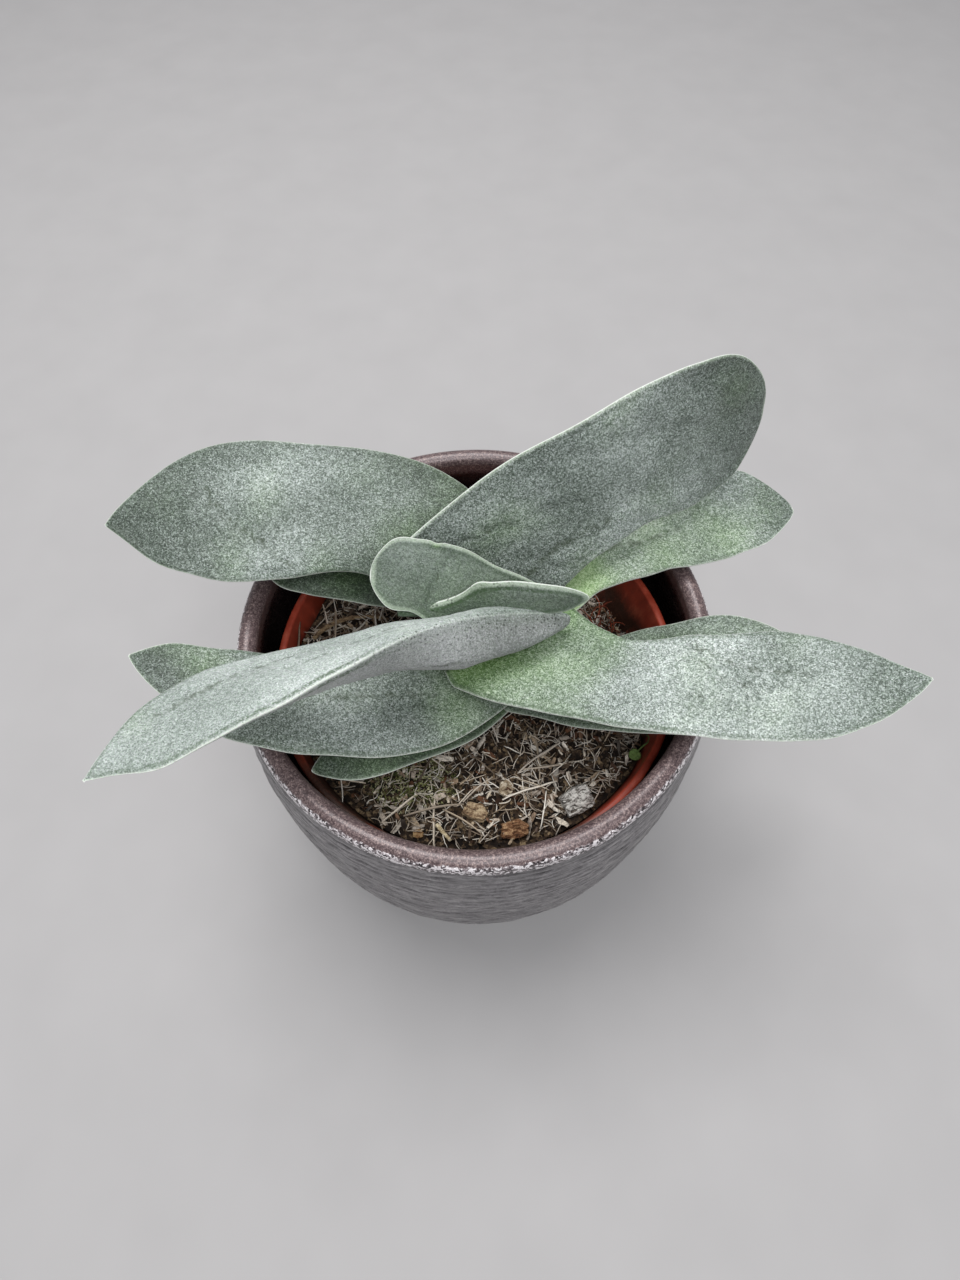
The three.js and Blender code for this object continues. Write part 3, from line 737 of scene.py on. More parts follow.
# ---------------------------------------------------------------- bark, stick and twig
# Five flakes of pine bark and two sticks that lie in pockets in the soil. The grey flake is
# weathered and crusted white; the others are freshly broken, orange-brown to straw.
CHIP_SHADES = {
    "bark_chip_brown": ("#24150c", "#6f4a30", "#b59470"),
    "bark_chip_tan": ("#2f2116", "#7b634a", "#bda98a"),
    "bark_chip_pale": ("#4b3c2d", "#9b8a72", "#d9cebb"),
    "bark_chip_grey": ("#1b1816", "#6d6862", "#dedbd5"),
    "bark_chip_small": ("#2c1c10", "#7c5b3b", "#a88d66"),
}


def bark_finish(name, dark, mid, light, crust):
    f = Finish(name, Specular_IOR_Level=0.3)
    layers = f.grain(1, 4, 0.65, f.stretched(0.35, 0.9, 1.6), bend=0.4)
    fine = f.grain(0.35, 3, 0.7)
    value = f.plus(f.times(layers, 0.7), f.times(fine, 0.35))
    colour = f.ramp(value, (0.4, dark), (0.51, mid), (0.64, light))
    if crust:
        patch = f.ease(f.grain(1.1, 4, 0.75, f.stretched(0.6, 1, 1.6)), 0.49, 0.54)
        colour = f.mix(f.times(patch, 0.8), colour, shade("#dfdcd6"))
    return f.paint(colour, f.ease(fine, 0.3, 0.7, 0.7, 0.95), [(layers, 0.8, 0.8), (fine, 0.6, 0.3)])


def bark_flake(name, chip):
    """A plate with a broken outline, split along its grain and roughened all over."""
    length, width, height = chip["size"]
    luck = random.Random(name)
    shape = bmesh.new()
    bmesh.ops.create_cube(shape, size=1)
    bmesh.ops.subdivide_edges(shape, edges=shape.edges, cuts=CHIP_SPLITS, use_grid_fill=True)
    blocky = chip.get("blocky", False)
    corner = [(-0.5, -0.3), (-0.1, -0.5), (0.42, -0.42), (0.5, 0.1), (0.2, 0.5), (-0.38, 0.4)]
    if blocky:
        corner = [(-0.5, -0.4), (-0.1, -0.5), (0.48, -0.44), (0.5, 0.42), (0.1, 0.5), (-0.46, 0.44)]
    offset = Vector((luck.uniform(0, 90), luck.uniform(0, 90), 0))
    for v in shape.verts:
        u, w, h = v.co
        a, far = math.atan2(w, u), max(abs(u), abs(w)) * 2
        reach = 9.0
        for (ax, ay), (bx, by) in zip(corner, corner[1:] + corner[:1]):
            ex, ey = bx - ax, by - ay
            cross = math.cos(a) * ey - math.sin(a) * ex
            if abs(cross) > 1e-6:
                hit = (ax * ey - ay * ex) / cross
                if hit > 0:
                    reach = min(reach, hit)
        torn = 1 + 0.10 * noise.noise(Vector((math.cos(a) * 3, math.sin(a) * 3, h * 2)) + offset)
        x, y = math.cos(a) * reach * far * torn * length, math.sin(a) * reach * far * torn * width
        dome = 1 - (0.08 if blocky else 0.22) * far ** 5
        grain = noise.noise(Vector((x * 0.35, y * 1.7, h * 2)) + offset) * 0.26
        lump = noise.fractal(Vector((x, y, h * height)) * 0.6 + offset, 0.8, 2.1, 4) * 0.14
        v.co = Vector((x, y, h * height * dome + (grain + lump) * height * 0.8))
    mesh = bpy.data.meshes.new(name)
    shape.to_mesh(mesh)
    shape.free()
    x, y = chip["at"]
    place = Matrix.Translation(Vector((x, y, float(soil_top(x, y)) + 0.3 * height)) * MM)
    mesh.transform(place @ Matrix.Rotation(math.radians(chip["turn"]), 4, "Z")
                   @ Matrix.Rotation(math.radians(chip["lean"]), 4, "X") @ Matrix.Scale(0.97 * MM, 4))
    return faces_out(in_scene(name + "_detail", mesh))


for name, chip in CHIPS.items():
    flake = bark_flake(name, chip)
    flake.data.materials.append(bark_finish(name, *CHIP_SHADES[name], crust=name == "bark_chip_grey"))
    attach(flake, "root")
    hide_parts(name)


def stick(name, places, thickness, knots, colours):
    """A stick along three places given above the soil, with knots."""
    raised = [(x, y, float(soil_top(x, y)) + above) for x, y, above in places]
    middle, steps = raised[1], 40
    path, radii = [], []
    for i in range(steps + 1):
        s = i / steps
        first, last = Vector(raised[0]), Vector(raised[2])
        control = 2 * Vector(middle) - (first + last) / 2
        at = first * (1 - s) ** 2 + control * 2 * s * (1 - s) + last * s * s
        path.append(at + Vector((0, 0.08 * math.sin(9 * s), 0.06 * math.sin(14 * s))))
        bulge = sum(0.22 * math.exp(-((s - k) / 0.03) ** 2) for k in knots)
        swell = 0.85 + 0.1 * noise.noise(Vector((s * 12, 3, 1))) + bulge
        radii.append(thickness / 2 * swell * (1 - 0.3 * s))
    points, faces = tube(path, radii, sides=14)
    obj = faces_out(piece(name + "_detail", [Vector(p) * MM for p in points], faces))
    obj.data.materials.append(bark_finish(name, *colours, crust=False))
    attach(obj, "root")
    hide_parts(name)


stick("pale_stick", [(-9.5, -45.5, 0.6), (-7.7, -47.5, 0.9), (-6, -49.5, 1.2)], 1.3, (0.4,),
      ("#7a6a50", "#c2b08b", "#e6dabc"))
stick("twig_left", [(-45, 6, 0.8), (-37, 12, 1.2), (-26, 12.5, 0.7)], 1.6, (0.25, 0.6),
      ("#3e2f22", "#8b7357", "#bca684"))

# ---------------------------------------------------------------- seedling, rootlets and strands
# A weed seedling with one round leaf, a tuft of fine red-brown roots that comes out of the soil
# by the right wall, and the dry strands round the twig on the left. All grow or lie in the soil.


def strands(name, paths, thickness, finish):
    points, faces, tints = [], [], []
    for i, path in enumerate(paths):
        more, their = tube(path, [thickness * (1 - 0.6 * k / len(path)) for k in range(len(path))],
                           sides=5)
        faces += [tuple(len(points) + k for k in face) for face in their]
        points += more
        tints += [(i * 0.37) % 1] * len(more)
    obj = faces_out(piece(name, [Vector(p) * MM for p in points], faces, tint=tints))
    obj.data.materials.append(finish)
    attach(obj, "root")


def wandering(luck, start, heading, climb, length, steps=14, curl=0.3, sag=0.12):
    at, path = Vector(start), [Vector(start)]
    turn = luck.uniform(-curl, curl)
    for _ in range(steps):
        heading += turn + luck.uniform(-0.15, 0.15)
        climb -= sag * luck.uniform(0.5, 1.5)
        at = at + Vector((math.cos(heading) * math.cos(climb), math.sin(heading) * math.cos(climb),
                          math.sin(climb))) * (length / steps)
        at.z = max(at.z, float(soil_top(at.x, at.y)) + 0.2)
        path.append(at.copy())
    return path


luck = random.Random(7)
rootlets = []
for _ in range(26):
    x, y = luck.uniform(34, 41), luck.uniform(9, 19)
    rootlets.append(wandering(luck, (x, y, float(soil_top(x, y))), luck.uniform(-0.4, 2.4),
                              luck.uniform(0.6, 1.4),
                              luck.uniform(6, 11), curl=0.25))
strands("red_rootlets", rootlets, 0.2,
        strewn_finish("rootlet", "#7d3a26", "#a8543a", "#5b2c1d", "#8b6a4c"))
dry = []
for x, y, heading, climb, length in ((-44, 3, 0.9, 0.7, 14), (-45, 8, 0.2, 0.3, 16),
                                     (-38, 16, -0.5, 0.2, 18),
                                     (-42, 12, -0.3, 0.5, 12), (-30, 20, -0.9, 0.3, 16),
                                     (-25, 16, 0.4, 0.3, 12),
                                     (-46, -1, 1.3, 0.5, 9), (-34, 8, 0.7, 0.25, 13)):
    dry.append(wandering(luck, (x, y, float(soil_top(x, y)) + 0.6), heading, climb, length,
                         curl=0.12))
strands("dry_strands", dry, 0.32, straw)
stalk = [(38, -27, float(soil_top(38.0, -27.0)) - 0.5), (38.6, -27.4, 78.5), (39.6, -27.8, 81),
         (40.4, -28, 82.5)]
green_finish = strewn_finish("seedling", "#4f6a34", "#6f8a4a", "#8fa564", rough=(0.5, 0.7))
strands("seedling_stalk",
        [stalk, [(40.4, -28, 82.4), (42, -26.5, 83.8), (43.8, -25.2, 84.1), (44.4, -23.6, 83.4),
                                   (43.9, -22, 82.6)]], 0.25, green_finish)
seedling_points, seedling_faces, SEED_RINGS, SEED_SIDES = [], [], 5, 20
for side in (1, -1):
    for k in range(SEED_RINGS + 1):
        for i in range(SEED_SIDES):
            a, r = 2 * math.pi * i / SEED_SIDES, 1.6 * k / SEED_RINGS
            edge = math.sqrt(max(0, 1 - (k / SEED_RINGS) ** 2))
            dish = 0.25 * (r / 1.6) ** 2
            seedling_points.append(Vector((40.4 + r * math.cos(a) * (1 - 0.15 * math.sin(a)),
                                           -28 + r * math.sin(a),
                                           82.7 + dish + 0.16 * side * edge)) * MM)
for s in range(2):
    for k in range(SEED_RINGS):
        for i in range(SEED_SIDES):
            a = (s * (SEED_RINGS + 1) + k) * SEED_SIDES + i
            b = (s * (SEED_RINGS + 1) + k) * SEED_SIDES + (i + 1) % SEED_SIDES
            seedling_faces.append((a, b, b + SEED_SIDES, a + SEED_SIDES))
seed_leaf = faces_out(piece("seedling_leaf", seedling_points, seedling_faces,
                            tint=[0.5] * len(seedling_points)))
seed_leaf.data.materials.append(green_finish)
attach(seed_leaf, "root")

# ---------------------------------------------------------------- stem
# The short thick stem, mostly hidden by the leaf bases: pale green, ringed by the scars of the
# older leaves. It stands in the middle of the soil.
STEM_RADIUS, STEM_FOOT, STEM_TOP = 5, 73, 109.5


def stem_finish():
    f = Finish("stem_skin", Specular_IOR_Level=0.35)
    height = f.node("ShaderNodeSeparateXYZ", {0: f.place}).outputs[2]
    speck, cloud = f.grain(0.5, 3, 0.7), f.grain(3, 3)
    green = f.ramp(speck, (0.35, "#5e7046"), (0.55, "#84946a"), (0.7, "#a9b596"))
    corky = f.ramp(cloud, (0.3, "#4d3f2c"), (0.7, "#8c7a58"))
    colour = f.mix(f.ease(height, 92 * MM, 80 * MM), green, corky)
    return f.paint(colour, f.ease(speck, 0.3, 0.7, 0.55, 0.8), [(speck, 0.4, 0.2), (cloud, 0.4, 0.6)])


stem_line = [((0.0, STEM_FOOT * MM), 3.0)]
for k in range(74):
    height = STEM_FOOT + 0.1 + k * (STEM_TOP - STEM_FOOT - 0.2) / 73
    ring = 0.45 * abs(math.sin(math.pi * (height - STEM_FOOT) / 6)) ** 0.6
    crown = math.sqrt(max(0.02, 1 - max(0, (height - STEM_TOP + 3) / 3) ** 2))
    stem_line.append((((STEM_RADIUS - 0.4 + ring) * crown * MM, height * MM), 3.0))
stem_line.append(((0.0, STEM_TOP * MM), 3.0))
stem = outline(stem_line, "plant_stem")
made_by(turned_pot, stem, Sides=48, Material=stem_finish(), Seed=21.0, Wobble=0.6 * MM)
stem.data.transform(Matrix.Translation((STEM_X * MM, STEM_Y * MM, 0)))
faces_out(stem)
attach(stem, "root")
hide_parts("stem")

# ---------------------------------------------------------------- leaves
# Thick sickle-shaped leaves in pairs, each clasping the stem and lying on the next older one.
# The skin is green under a powdery grey wax that thins towards the base; the margin is a pale
# rounded rim with a fine dark-green line inside it.
STATIONS = [0, 0.25, 0.5, 0.75, 0.92]
FULLNESS = 2.6
LEAF_STEPS, LEAF_SIDES = 210, 112

# Angles are in degrees, lengths in millimetres: heading is the way a leaf points in plan, sweep
# how far it turns sideways by its tip, rise its climb at the root, curl the change of that climb,
# roll its tilt about the midrib, twist the change of roll and slant how far its base is askew.
# left and right are the half-widths at STATIONS and tip the power by which it closes. wax is how
# thick the powder is at root, middle and tip, green how far the skin shows there, specks how many
# dark pores lie along its margin and rim how wide the pale margin is. crumple is how puckered the
# skin is beside its creases, dustiness how grainy its powder is, pinch how long its base tapers and
# a nick is (share, side, depth, width) of a dent in the margin.
LEAVES = [
    dict(name="young_leaf_right", root=(-18, -4, 114), heading=0, sweep=0, rise=6, curl=3,
         length=44, roll=73, twist=0, slant=0, thick=3, cup=0, keel=0.5,
         left=[1, 2, 6.5, 5, 3], right=[1, 2.5, 4, 4, 3], tip=0.6,
         wax=(0.34, 0.34, 0.42), green=(0.3, 0.3, 0.25), specks=0.9, rim=1.0, dustiness=0.5,
         nicks=[(0.44, 1, -1.3, 2.6)]),
    dict(name="young_leaf_left", root=(16, 0, 112), heading=174, sweep=10, rise=15, curl=-2,
         length=41, roll=-35, twist=0, slant=0, thick=3, cup=2, keel=1,
         left=[4, 9, 12, 8, 6], right=[3, 5, 8, 9, 7], tip=0.5,
         wax=(0.32, 0.28, 0.36), green=(0.35, 0.3, 0.25), specks=0.15, rim=1.0, dustiness=0.5,
         nicks=[(0.66, -1, 0.35, 1.0)]),
    dict(name="leaf_left_front", root=(22, -5, 111), heading=184, sweep=42, rise=14, curl=-10,
         length=108, roll=80, twist=-75, slant=5, thick=4.5, cup=0.5, keel=12,
         left=[1.5, 7, 14, 12, 6.5], right=[2, 8, 5, 10, 5], tip=1,
         wax=(0.5, 0.72, 0.56), green=(0.02, -0.05, -0.02), specks=0.8, rim=0.35, rim_at_base=0.0,
         crumple=0.3, pinch=0.12,
         dustiness=0.6),
    dict(name="leaf_right_back", root=(0, 4, 108), heading=30, sweep=3, rise=26, curl=-28,
         length=88, roll=53, twist=21, slant=-32, thick=4, cup=1.5, keel=3,
         left=[25, 24, 22, 21, 15], right=[16, 12, 12, 16, 13], tip=0.5,
         wax=(0.3, 0.54, 0.3), green=(0.2, 0.06, 0.1), specks=0.05, rim=0.65),
    dict(name="leaf_right_front", root=(9, -5, 103), heading=-25, sweep=28, rise=7, curl=2,
         length=94, roll=0, twist=-2, slant=35, thick=4.5, cup=1.5, keel=3,
         left=[16, 7, 11, 12, 5], right=[22, 17, 15, 13, 6], tip=0.9,
         wax=(0.42, 0.64, 0.44), green=(0.85, 0.12, 0.1), specks=0.4, rim=0.4, crumple=0.9),
    dict(name="leaf_left_back", root=(-1, 7, 108), heading=153, sweep=40, rise=15, curl=-18,
         length=92, roll=-25, twist=5, slant=38, thick=4.5, cup=1.5, keel=3,
         left=[16, 9, 15, 16, 8], right=[17, 22, 19, 16, 6], tip=0.9,
         wax=(0.06, 0.51, 0.2), green=(0.6, 0.12, 0.1), specks=0.08, rim=0.4),
    dict(name="leaf_left_lower", root=(4, -4, 94), heading=202, sweep=-31, rise=9, curl=3,
         length=87, roll=-4, twist=-1, slant=-13, thick=4, cup=1, keel=2,
         left=[14, 22, 20, 15, 6], right=[13, 10, 5, 5, 4], tip=0.8,
         wax=(0.4, 0.52, 0.28), green=(0.5, 0.15, 0.2), specks=0.3, rim=0.4),
    dict(name="leaf_right_back_lower", root=(9, 5, 99), heading=28, sweep=-16, rise=9, curl=-9,
         length=81, roll=8, twist=-3, slant=-33, thick=4, cup=1, keel=2,
         left=[13, 15, 16, 16, 12], right=[13, 7, 8, 10, 6], tip=0.65,
         wax=(0.72, 0.54, 0.4), green=(1.7, 0.5, 0.15), specks=0.05, rim=0.4),
    # This low back leaf has almost no wax, so its skin is dark green: partly its bare older skin,
    # partly painted shade.
    dict(name="leaf_left_back_lower", root=(3, 5, 93), heading=160, sweep=15, rise=14, curl=-4,
         length=63, roll=-9, twist=1, slant=20, thick=3.5, cup=0.5, keel=1.5,
         left=[10, 6, 7, 9, 6], right=[12, 13, 13, 10, 6], tip=0.8,
         wax=(0.0, 0.05, 0.2), green=(0.5, 0.4, 0.3), specks=0, rim=0.4),
    dict(name="leaf_right_lower", root=(9, -4, 91), heading=-20, sweep=12, rise=17, curl=-3,
         length=76, roll=4, twist=5, slant=-4, thick=3.5, cup=0.5, keel=1.5,
         left=[12, 7, 13, 16, 9], right=[15, 16, 15, 12, 6], tip=0.7,
         wax=(0.25, 0.32, 0.38), green=(0.3, 0.3, 0.15), specks=0, rim=0.45),
    dict(name="leaf_left_front_lowest", root=(4, -5, 88), heading=222, sweep=-12, rise=6, curl=0,
         length=53, roll=2, twist=0, slant=-6, thick=3, cup=0, keel=1,
         left=[12, 14, 12, 9, 5], right=[8, 9, 9, 6, 3], tip=0.7,
         wax=(0.1, 0.18, 0.25), green=(0.4, 0.4, 0.35), specks=0, rim=0.5),
]

# Where a leaf is dented or wrinkled: places of (share, across) that the crease passes, its depth
# and width in millimetres
CREASES = {
    "leaf_right_front": [([(0.46, 0.28), (0.52, 0.02), (0.60, -0.12), (0.68, -0.1)], 0.7, 1.0),
                         ([(0.42, 0.55), (0.5, 0.3), (0.6, 0.15), (0.7, 0.12)], 0.45, 1.6),
                         ([(0.46, -0.3), (0.52, -0.38), (0.6, -0.3)], 0.3, 1.2),
                         ([(0.9, -0.1), (0.78, 0.35), (0.62, 0.6)], -0.35, 1.5)],
    "leaf_left_back": [([(0.42, 0.75), (0.55, 0.45), (0.68, 0.05), (0.74, -0.3)], 0.45, 1.8),
                       ([(0.5, 0.72), (0.62, 0.42), (0.72, 0.1)], -0.4, 1.8),
                       ([(0.36, 0.8), (0.48, 0.6), (0.6, 0.15)], -0.3, 2.0),
                       ([(0.76, 0.1), (0.8, -0.5), (0.74, -0.85)], -0.3, 1.0)],
    "leaf_right_back": [([(0.02, 1.1), (0.12, 0.75), (0.22, 0.5), (0.36, 0.3)], 0.7, 0.8),
                        ([(0.93, 0.75), (0.9, 0.1), (0.86, -0.2)], -0.4, 0.6),
                        ([(0.1, -0.2), (0.25, -0.1), (0.42, -0.2)], 0.4, 3.0)],
    "young_leaf_left": [([(0.55, -0.7), (0.62, -0.2), (0.66, 0.4)], 0.35, 1.2),
                        ([(0.75, -0.5), (0.72, 0.2), (0.74, 0.6)], -0.25, 1.0)],
    "leaf_left_front": [([(0.25, 0.3), (0.45, 0.45), (0.62, 0.3)], 0.4, 1.4),
                        ([(0.55, 0.0), (0.7, -0.2), (0.85, -0.25)], 0.25, 2.0)],
    "leaf_left_lower": [([(0.2, 0.5), (0.45, 0.35), (0.7, 0.2)], 0.3, 3.0)],
    "leaf_right_back_lower": [([(0.3, 0.3), (0.5, 0.1), (0.75, 0.05)], 0.35, 2.5)],
}


def leaf_direction(leaf, share):
    heading = np.radians(leaf["heading"] + leaf["sweep"] * share)
    climb = np.radians(leaf["rise"] + leaf["curl"] * share)
    return np.stack([np.cos(climb) * np.cos(heading), np.cos(climb) * np.sin(heading), np.sin(climb)],
                    -1)


def leaf_width(widths, tip_power, share):
    """A smooth curve through the half-widths, which then closes to the tip."""
    rates = np.diff(widths) / np.diff(STATIONS)
    steps = np.diff(STATIONS)
    inner = (rates[:-1] * steps[1:] + rates[1:] * steps[:-1]) / (steps[:-1] + steps[1:])
    slopes = np.append(rates[0], inner)
    slopes = np.append(slopes, -tip_power * widths[-1] / (1 - STATIONS[-1]))
    out = np.empty_like(share)
    for j, s in enumerate(share):
        if s >= STATIONS[-1]:
            out[j] = widths[-1] * ((1 - s) / (1 - STATIONS[-1])) ** tip_power
            continue
        k = max(i for i in range(len(steps)) if s >= STATIONS[i])
        p = (s - STATIONS[k]) / steps[k]
        out[j] = ((1 + 2 * p) * (1 - p) ** 2 * widths[k] + p * (1 - p) ** 2 * steps[k] * slopes[k]
                  + p * p * (3 - 2 * p) * widths[k + 1] + p * p * (p - 1) * steps[k] * slopes[k + 1])
    return out


def undulation(x, y, wavelength, luck, waves=7):
    """A gently uneven surface, between about -1 and 1."""
    total = 0
    for _ in range(waves):
        a, phase, stretch = luck.uniform(0, math.pi), luck.uniform(0, 6.3), luck.uniform(0.7, 1.6)
        passed = (x * math.cos(a) + y * math.sin(a)) * 2 * math.pi / (wavelength * stretch)
        total = total + np.sin(passed + phase)
    return total / math.sqrt(waves)


def leaf_finish(name):
    f = Finish(name, Sheen_Weight=0.2, Sheen_Roughness=0.4, Specular_IOR_Level=0.3,
               Subsurface_Weight=0.06)
    f.shader.inputs["Subsurface Radius"].default_value = (0.4, 1.0, 0.3)
    f.shader.inputs["Subsurface Scale"].default_value = 1.0 * MM
    wax, green, under = f.mark("wax"), f.mark("green"), f.mark("underside")
    margin, crease, rim_width = f.mark("margin"), f.mark("crease"), f.mark("rim")
    crumple = f.mark("crumple")
    powder, speck = f.cells(0.3), f.grain(0.28, 2, 0.75)
    mottle, cloud = f.grain(1.5, 3, 0.65), f.grain(11, 2)
    layers, dustiness = wax, f.mark("dustiness")
    for pattern, share in ((powder, 0.42), (speck, 1.15), (mottle, 0.08), (cloud, 0.26)):
        layers = f.calc("MULTIPLY_ADD", f.calc("SUBTRACT", pattern, 0.5), f.times(dustiness, share),
                        layers)
    layers = f.calc("MULTIPLY_ADD", f.times(f.calc("SUBTRACT", mottle, 0.55), crumple), 0.9, layers)
    skin = f.ramp(layers, (0.0, "#2b342c"), (0.28, "#586259"), (0.5, "#848e87"),
                  (0.72, "#b5beb9"), (1.0, "#eaf0ed"))
    bare = f.ramp(layers, (0.0, "#2f4a1e"), (0.4, "#688b4c"), (0.85, "#b3cb9a"))
    ragged = f.calc("MULTIPLY_ADD", f.calc("SUBTRACT", mottle, 0.5), 0.3, green)
    colour = f.mix(f.ease(ragged, 0.05, 1.0, 0.0, 0.95), skin, bare)
    grey = f.ramp(layers, (0.1, "#4b4d49"), (0.5, "#7c7e7c"), (0.9, "#bcbdbd"))
    colour = f.mix(f.times(under, 0.75), colour, grey)
    # Painted shade: the skin is darkened to a deep green along the sunk creases.
    colour = f.mix(f.ease(crease, 0.2, 1.0, 0.0, 0.6), colour, shade("#39442f"))
    past_rim = f.calc("SUBTRACT", margin, rim_width)
    line = f.times(f.ease(past_rim, 0.05, 0.35), f.ease(past_rim, 1.3, 0.8))
    line = f.times(line, f.calc("MULTIPLY_ADD", f.mark("specks"), 1.6, 0.12, clamp=True))
    line = f.times(line, f.ease(rim_width, 0.05, 0.3, 0.2, 1.0))
    dotted = f.times(line, f.ease(f.grain(0.6, 2), 0.4, 0.55, 0.25, 0.9))
    colour = f.mix(dotted, colour, shade("#42583a"))
    pale = f.ramp(layers, (0.2, "#93a28d"), (0.55, "#bcc8b8"), (0.9, "#eef3ea"))
    rim = f.times(f.ease(past_rim, 0.35, -0.45), f.ease(under, 1.0, 0.55, 0.2, 0.75))
    colour = f.mix(rim, colour, pale)
    edge = f.times(f.ease(margin, 0.32, 0.06, 0.0, 0.75), f.ease(rim_width, 0.0, 0.3))
    colour = f.mix(edge, colour, shade("#edf2ea"))
    spot = f.times(f.ease(f.cells(0.85, "Distance"), 0.36, 0.24), f.ease(f.cells(0.85), 0.5, 0.55))
    spot = f.times(spot, f.mark("specks"), f.ease(margin, 3.5, 1.0))
    colour = f.mix(f.times(spot, 0.9), colour, shade("#20281a"))
    return f.paint(colour, f.ease(layers, 0.1, 0.9, 0.5, 0.75), [
        (mottle, 0.12, 0.3), (f.times(mottle, crumple), 0.7, 0.9), (speck, 0.5, 0.14),
        (powder, 0.3, 0.08)])


def make_leaf(leaf, order):
    luck = random.Random(leaf["name"])
    i = np.arange(LEAF_STEPS + 1)
    share = 1 - (1 - i / LEAF_STEPS) ** 1.4
    middle = (share[1:] + share[:-1]) / 2
    stride = leaf_direction(leaf, middle) * (np.diff(share) * leaf["length"])[:, None]
    place = np.vstack([[0, 0, 0], np.cumsum(stride, 0)]) + leaf["root"]
    along = leaf_direction(leaf, share)
    heading = np.radians(leaf["heading"] + leaf["sweep"] * share)
    level = np.stack([-np.sin(heading), np.cos(heading), 0 * heading], -1)
    upright = np.cross(along, level)
    roll = np.radians(leaf["roll"] + leaf["twist"] * share)[:, None]
    side = level * np.cos(roll) + upright * np.sin(roll)
    up = np.cross(along, side)
    askew = np.radians(leaf["slant"]) * np.clip(1 - share / 0.6, 0, 1)[:, None] ** 2
    side = side * np.cos(askew) + along * np.sin(askew)

    s = share[:-1]
    base_round = np.minimum(1, 0.85 + 4 * s)
    left = np.maximum(0.35, leaf_width(leaf["left"], leaf["tip"], s) * base_round)
    right = np.maximum(0.35, leaf_width(leaf["right"], leaf["tip"], s) * base_round)
    tip_round = np.minimum(1, np.sqrt((1 - s) / 0.3))
    half = leaf["thick"] / 2 * (0.75 + 0.5 * (1 - s) ** 2) * tip_round
    half = half * np.minimum(1, 0.25 + 0.75 * np.sqrt(s / leaf.get("pinch", 0.005)))
    thinned = 1 - 0.5 * np.abs(np.cos(2 * np.pi * np.arange(LEAF_SIDES) / LEAF_SIDES)) ** 3
    keel = leaf["keel"] * (1 - s) ** 1.4 * np.minimum(1, s / 0.25)
    angle = 2 * np.pi * np.arange(LEAF_SIDES) / LEAF_SIDES
    across = np.sign(np.cos(angle)) * np.abs(np.cos(angle)) ** (2 / FULLNESS)
    high = np.sign(np.sin(angle)) * np.abs(np.sin(angle)) ** (2 / FULLNESS)
    reach = np.where(across[None] > 0, left[:, None], right[:, None])
    far = leaf["length"] * s[:, None] + 0 * reach
    sideways = across[None] * reach

    # the skin is a little uneven, its margin has a rounded bead, and its creases are sunk or raised
    skin_step = np.hypot(np.diff(sideways, axis=1, append=sideways[:, :1]),
                         np.diff((high * thinned)[None] * half[:, None], axis=1, append=0))
    walked = np.cumsum(np.hstack([0 * half[:, None], skin_step[:, :-1]]), axis=1)
    opposite = walked[:, LEAF_SIDES // 2:LEAF_SIDES // 2 + 1]
    round_trip = walked[:, -1:] + skin_step[:, -1:]
    inward = np.minimum(np.minimum(walked, np.abs(walked - opposite)), round_trip - walked)
    inward = np.minimum(inward, (1 - s[:, None]) * leaf["length"] * 0.8)
    soft = rise(inward, 0.3, 4.0)
    waves = 0.28 * undulation(far, sideways, 17, luck) + 0.10 * undulation(far, sideways, 6, luck)
    pimples = 0.035 * undulation(far, sideways, 2.4, luck, 12)
    crease, crumple, sunk = 0 * reach, 0 * reach, 0 * reach
    shaken = 0.5 * undulation(far, sideways, 4.5, luck) + 0.25 * undulation(far, sideways, 2.0, luck)
    for path, depth, width in CREASES.get(leaf["name"], []):
        nearest = 0 * reach + 99.0
        for (s0, a0), (s1, a1) in zip(path, path[1:]):
            half_width = (left.max() + right.max()) / 2
            ax, ay, bx, by = s0 * leaf["length"], a0 * half_width, s1 * leaf["length"], a1 * half_width
            dx, dy = bx - ax, by - ay
            k = np.clip(((far - ax) * dx + (sideways - ay) * dy) / (dx * dx + dy * dy), 0, 1)
            off = np.hypot(far + shaken - ax - k * dx, sideways + shaken - ay - k * dy)
            nearest = np.minimum(nearest, off)
        ends = np.clip((far / leaf["length"] - path[0][0] + 0.06) / 0.08, 0, 1)
        bell = np.exp(-(nearest / width) ** 2)
        sunk = sunk + depth * bell * ends * soft
        # Only the sunk creases carry the crease mark, along which the finish paints shade.
        if depth > 0:
            crease = np.maximum(crease, ends * np.exp(-(nearest / (0.3 * width)) ** 2))
        puckered = ends * leaf.get("crumple", 0.15) * np.exp(-(nearest / (2.2 * width)) ** 2)
        crumple = np.maximum(crumple, puckered)
    top = high[None] > 0
    lifted = (waves + pimples) * soft * np.where(top, 1.0, 0.6) - np.where(top, sunk, 0.5 * sunk)
    bead = 0.16 * np.exp(-((inward - 1.0) / 0.6) ** 2) * np.sign(high)[None] * tip_round[:, None]
    below = keel[:, None] * np.maximum(0, -np.sin(angle))[None] ** 2
    cupped = leaf["cup"] * across[None] ** 2 * tip_round[:, None]
    height = (high * thinned)[None] * half[:, None] - below + cupped + lifted + bead
    margin_wave = 0.22 * undulation(far, np.sign(across)[None] * 40 + 0 * reach, 13, luck)
    bruise = 0 * reach
    for at, which, depth, width in leaf.get("nicks", []):
        dent = np.exp(-((far - at * leaf["length"]) / width) ** 2) * (np.sign(across)[None] == which)
        margin_wave = margin_wave - depth * dent
        bruise = np.maximum(bruise, dent * (depth > 0) * np.exp(-(inward / 1.2) ** 2))
    sideways = sideways * (1 + margin_wave * np.abs(across[None]) ** 3 / np.maximum(reach, 3))
    points = (place[:-1, None] + side[:-1, None] * sideways[..., None]
              + up[:-1, None] * height[..., None])

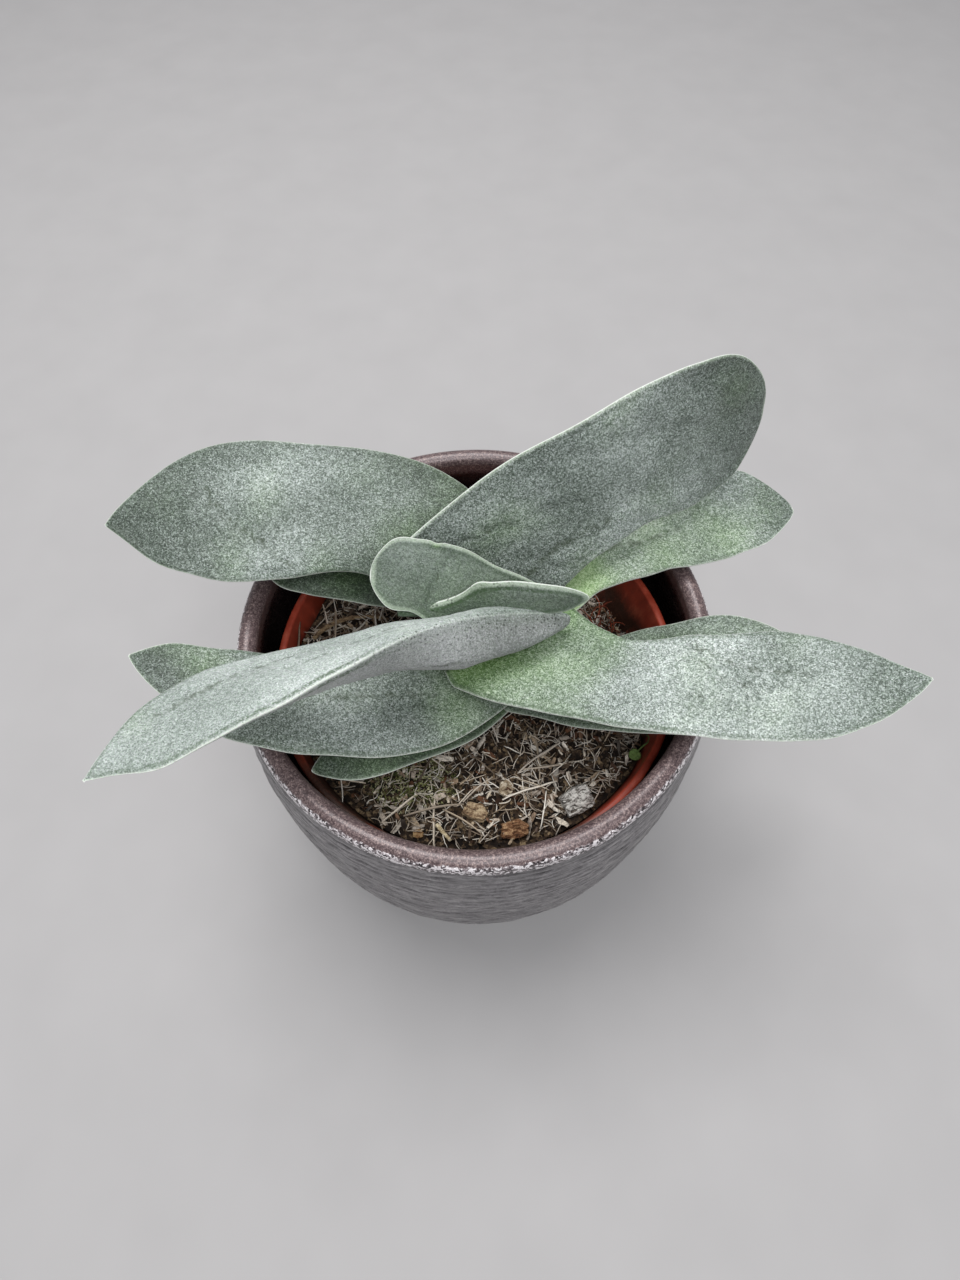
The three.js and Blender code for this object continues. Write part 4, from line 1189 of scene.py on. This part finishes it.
    under = np.clip(0.5 - high[None] * 0.9 + 0 * reach, 0, 1)
    wax = np.interp(s, (0, 0.5, 1), leaf["wax"])[:, None] + 0.05 * undulation(far, sideways, 26, luck)
    green = (np.interp(s, (0, 0.35, 1), leaf["green"])[:, None]
             + 0.12 * undulation(far, sideways, 22, luck) + bruise)
    specks = leaf["specks"] * (1 - 0.8 * s)[:, None] + 0 * reach
    rim = np.interp(s, (0.35, 0.6), (leaf.get("rim_at_base", leaf["rim"]), leaf["rim"]))[:, None]
    flat = points.reshape(-1, 3)
    base, tip = len(flat), len(flat) + 1
    flat = np.vstack([flat, place[0], place[-1]]) * MM
    ring = np.arange(LEAF_SIDES)
    faces = []
    for k in range(LEAF_STEPS):
        for j in range(LEAF_SIDES):
            a, b = k * LEAF_SIDES + j, k * LEAF_SIDES + (j + 1) % LEAF_SIDES
            if k == 0:
                faces.append((base, b, a))
            if k == LEAF_STEPS - 1:
                faces.append((a, b, tip))
            else:
                faces.append((a, b, b + LEAF_SIDES, a + LEAF_SIDES))

    def listed(values, at_base, at_tip):
        return np.append((values + 0 * reach).reshape(-1), [at_base, at_tip])

    obj = piece(leaf["name"] + "_detail", flat, faces,
                wax=listed(wax, leaf["wax"][0], leaf["wax"][2]),
                green=listed(green, leaf["green"][0], leaf["green"][2]),
                underside=listed(under, 0.5, 0.5),
                margin=listed(inward, 0, 0), crease=listed(crease * soft, 0, 0),
                specks=listed(specks, 0, 0),
                crumple=listed(crumple * soft, 0, 0), rim=listed(rim, leaf["rim"], leaf["rim"]),
                dustiness=np.full(len(flat), leaf.get("dustiness", 1.0)))
    faces_out(obj)
    obj.data.materials.append(young_skin if order < 6 else old_skin)
    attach(obj, "root")
    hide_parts(leaf["name"])


young_skin, old_skin = leaf_finish("leaf_skin"), leaf_finish("leaf_skin_old")
for order, leaf in enumerate(LEAVES):
    make_leaf(leaf, order)

# ---------------------------------------------------------------- studio
# A pale floor under a soft overhead light, and a camera that looks steeply down at the plant.
FLOOR_REACH, FLOOR_DROP = 3.0, 0.2 * MM
bpy.ops.mesh.primitive_grid_add(x_subdivisions=2, y_subdivisions=2, size=2 * FLOOR_REACH,
                                location=(0, 0, -FLOOR_DROP))
floor = bpy.context.active_object
floor.name = "studio_floor"
paper = Finish("floor_paper", Roughness=0.95, Specular_IOR_Level=0.1)
mottled = paper.mix(paper.grain(30, 2), shade("#b0aeae"), shade("#b8b6b6"))
floor.data.materials.append(paper.paint(mottled))


def soft_light(name, place, aim, size, power, tint):
    lamp = bpy.data.lights.new(name, "AREA")
    lamp.shape, lamp.size, lamp.energy, lamp.color = "DISK", size, power, tint
    obj = in_scene(name, lamp)
    obj.location = place
    obj.rotation_euler = (Vector(aim) - Vector(place)).to_track_quat("-Z", "Y").to_euler()


soft_light("overhead", (-0.15, 0.3, 1.1), (0, 0, 0.08), 0.7, 9.0, (1.0, 0.995, 0.99))
soft_light("front_high", (0.15, -0.45, 1.0), (0, 0, 0.08), 0.6, 4.5, (0.98, 0.99, 1.0))

world = bpy.data.worlds.new("studio_air")
world.use_nodes = True
world.node_tree.nodes["Background"].inputs[0].default_value = (0.94, 0.96, 1.0, 1)
world.node_tree.nodes["Background"].inputs[1].default_value = 0.36
bpy.context.scene.world = world
bpy.context.scene.view_settings.view_transform = "Standard"

CAMERA_PLACE, CAMERA_TILT, CAMERA_LENS = (0.0011, -0.0897, 0.2574), 28.5, 20.25
camera = in_scene("camera", bpy.data.cameras.new("camera"))
camera.data.lens, camera.data.sensor_width = CAMERA_LENS, 36
camera.data.clip_start = 0.01
camera.location = CAMERA_PLACE
camera.rotation_euler = (math.radians(CAMERA_TILT), 0, 0)
bpy.context.scene.camera = camera
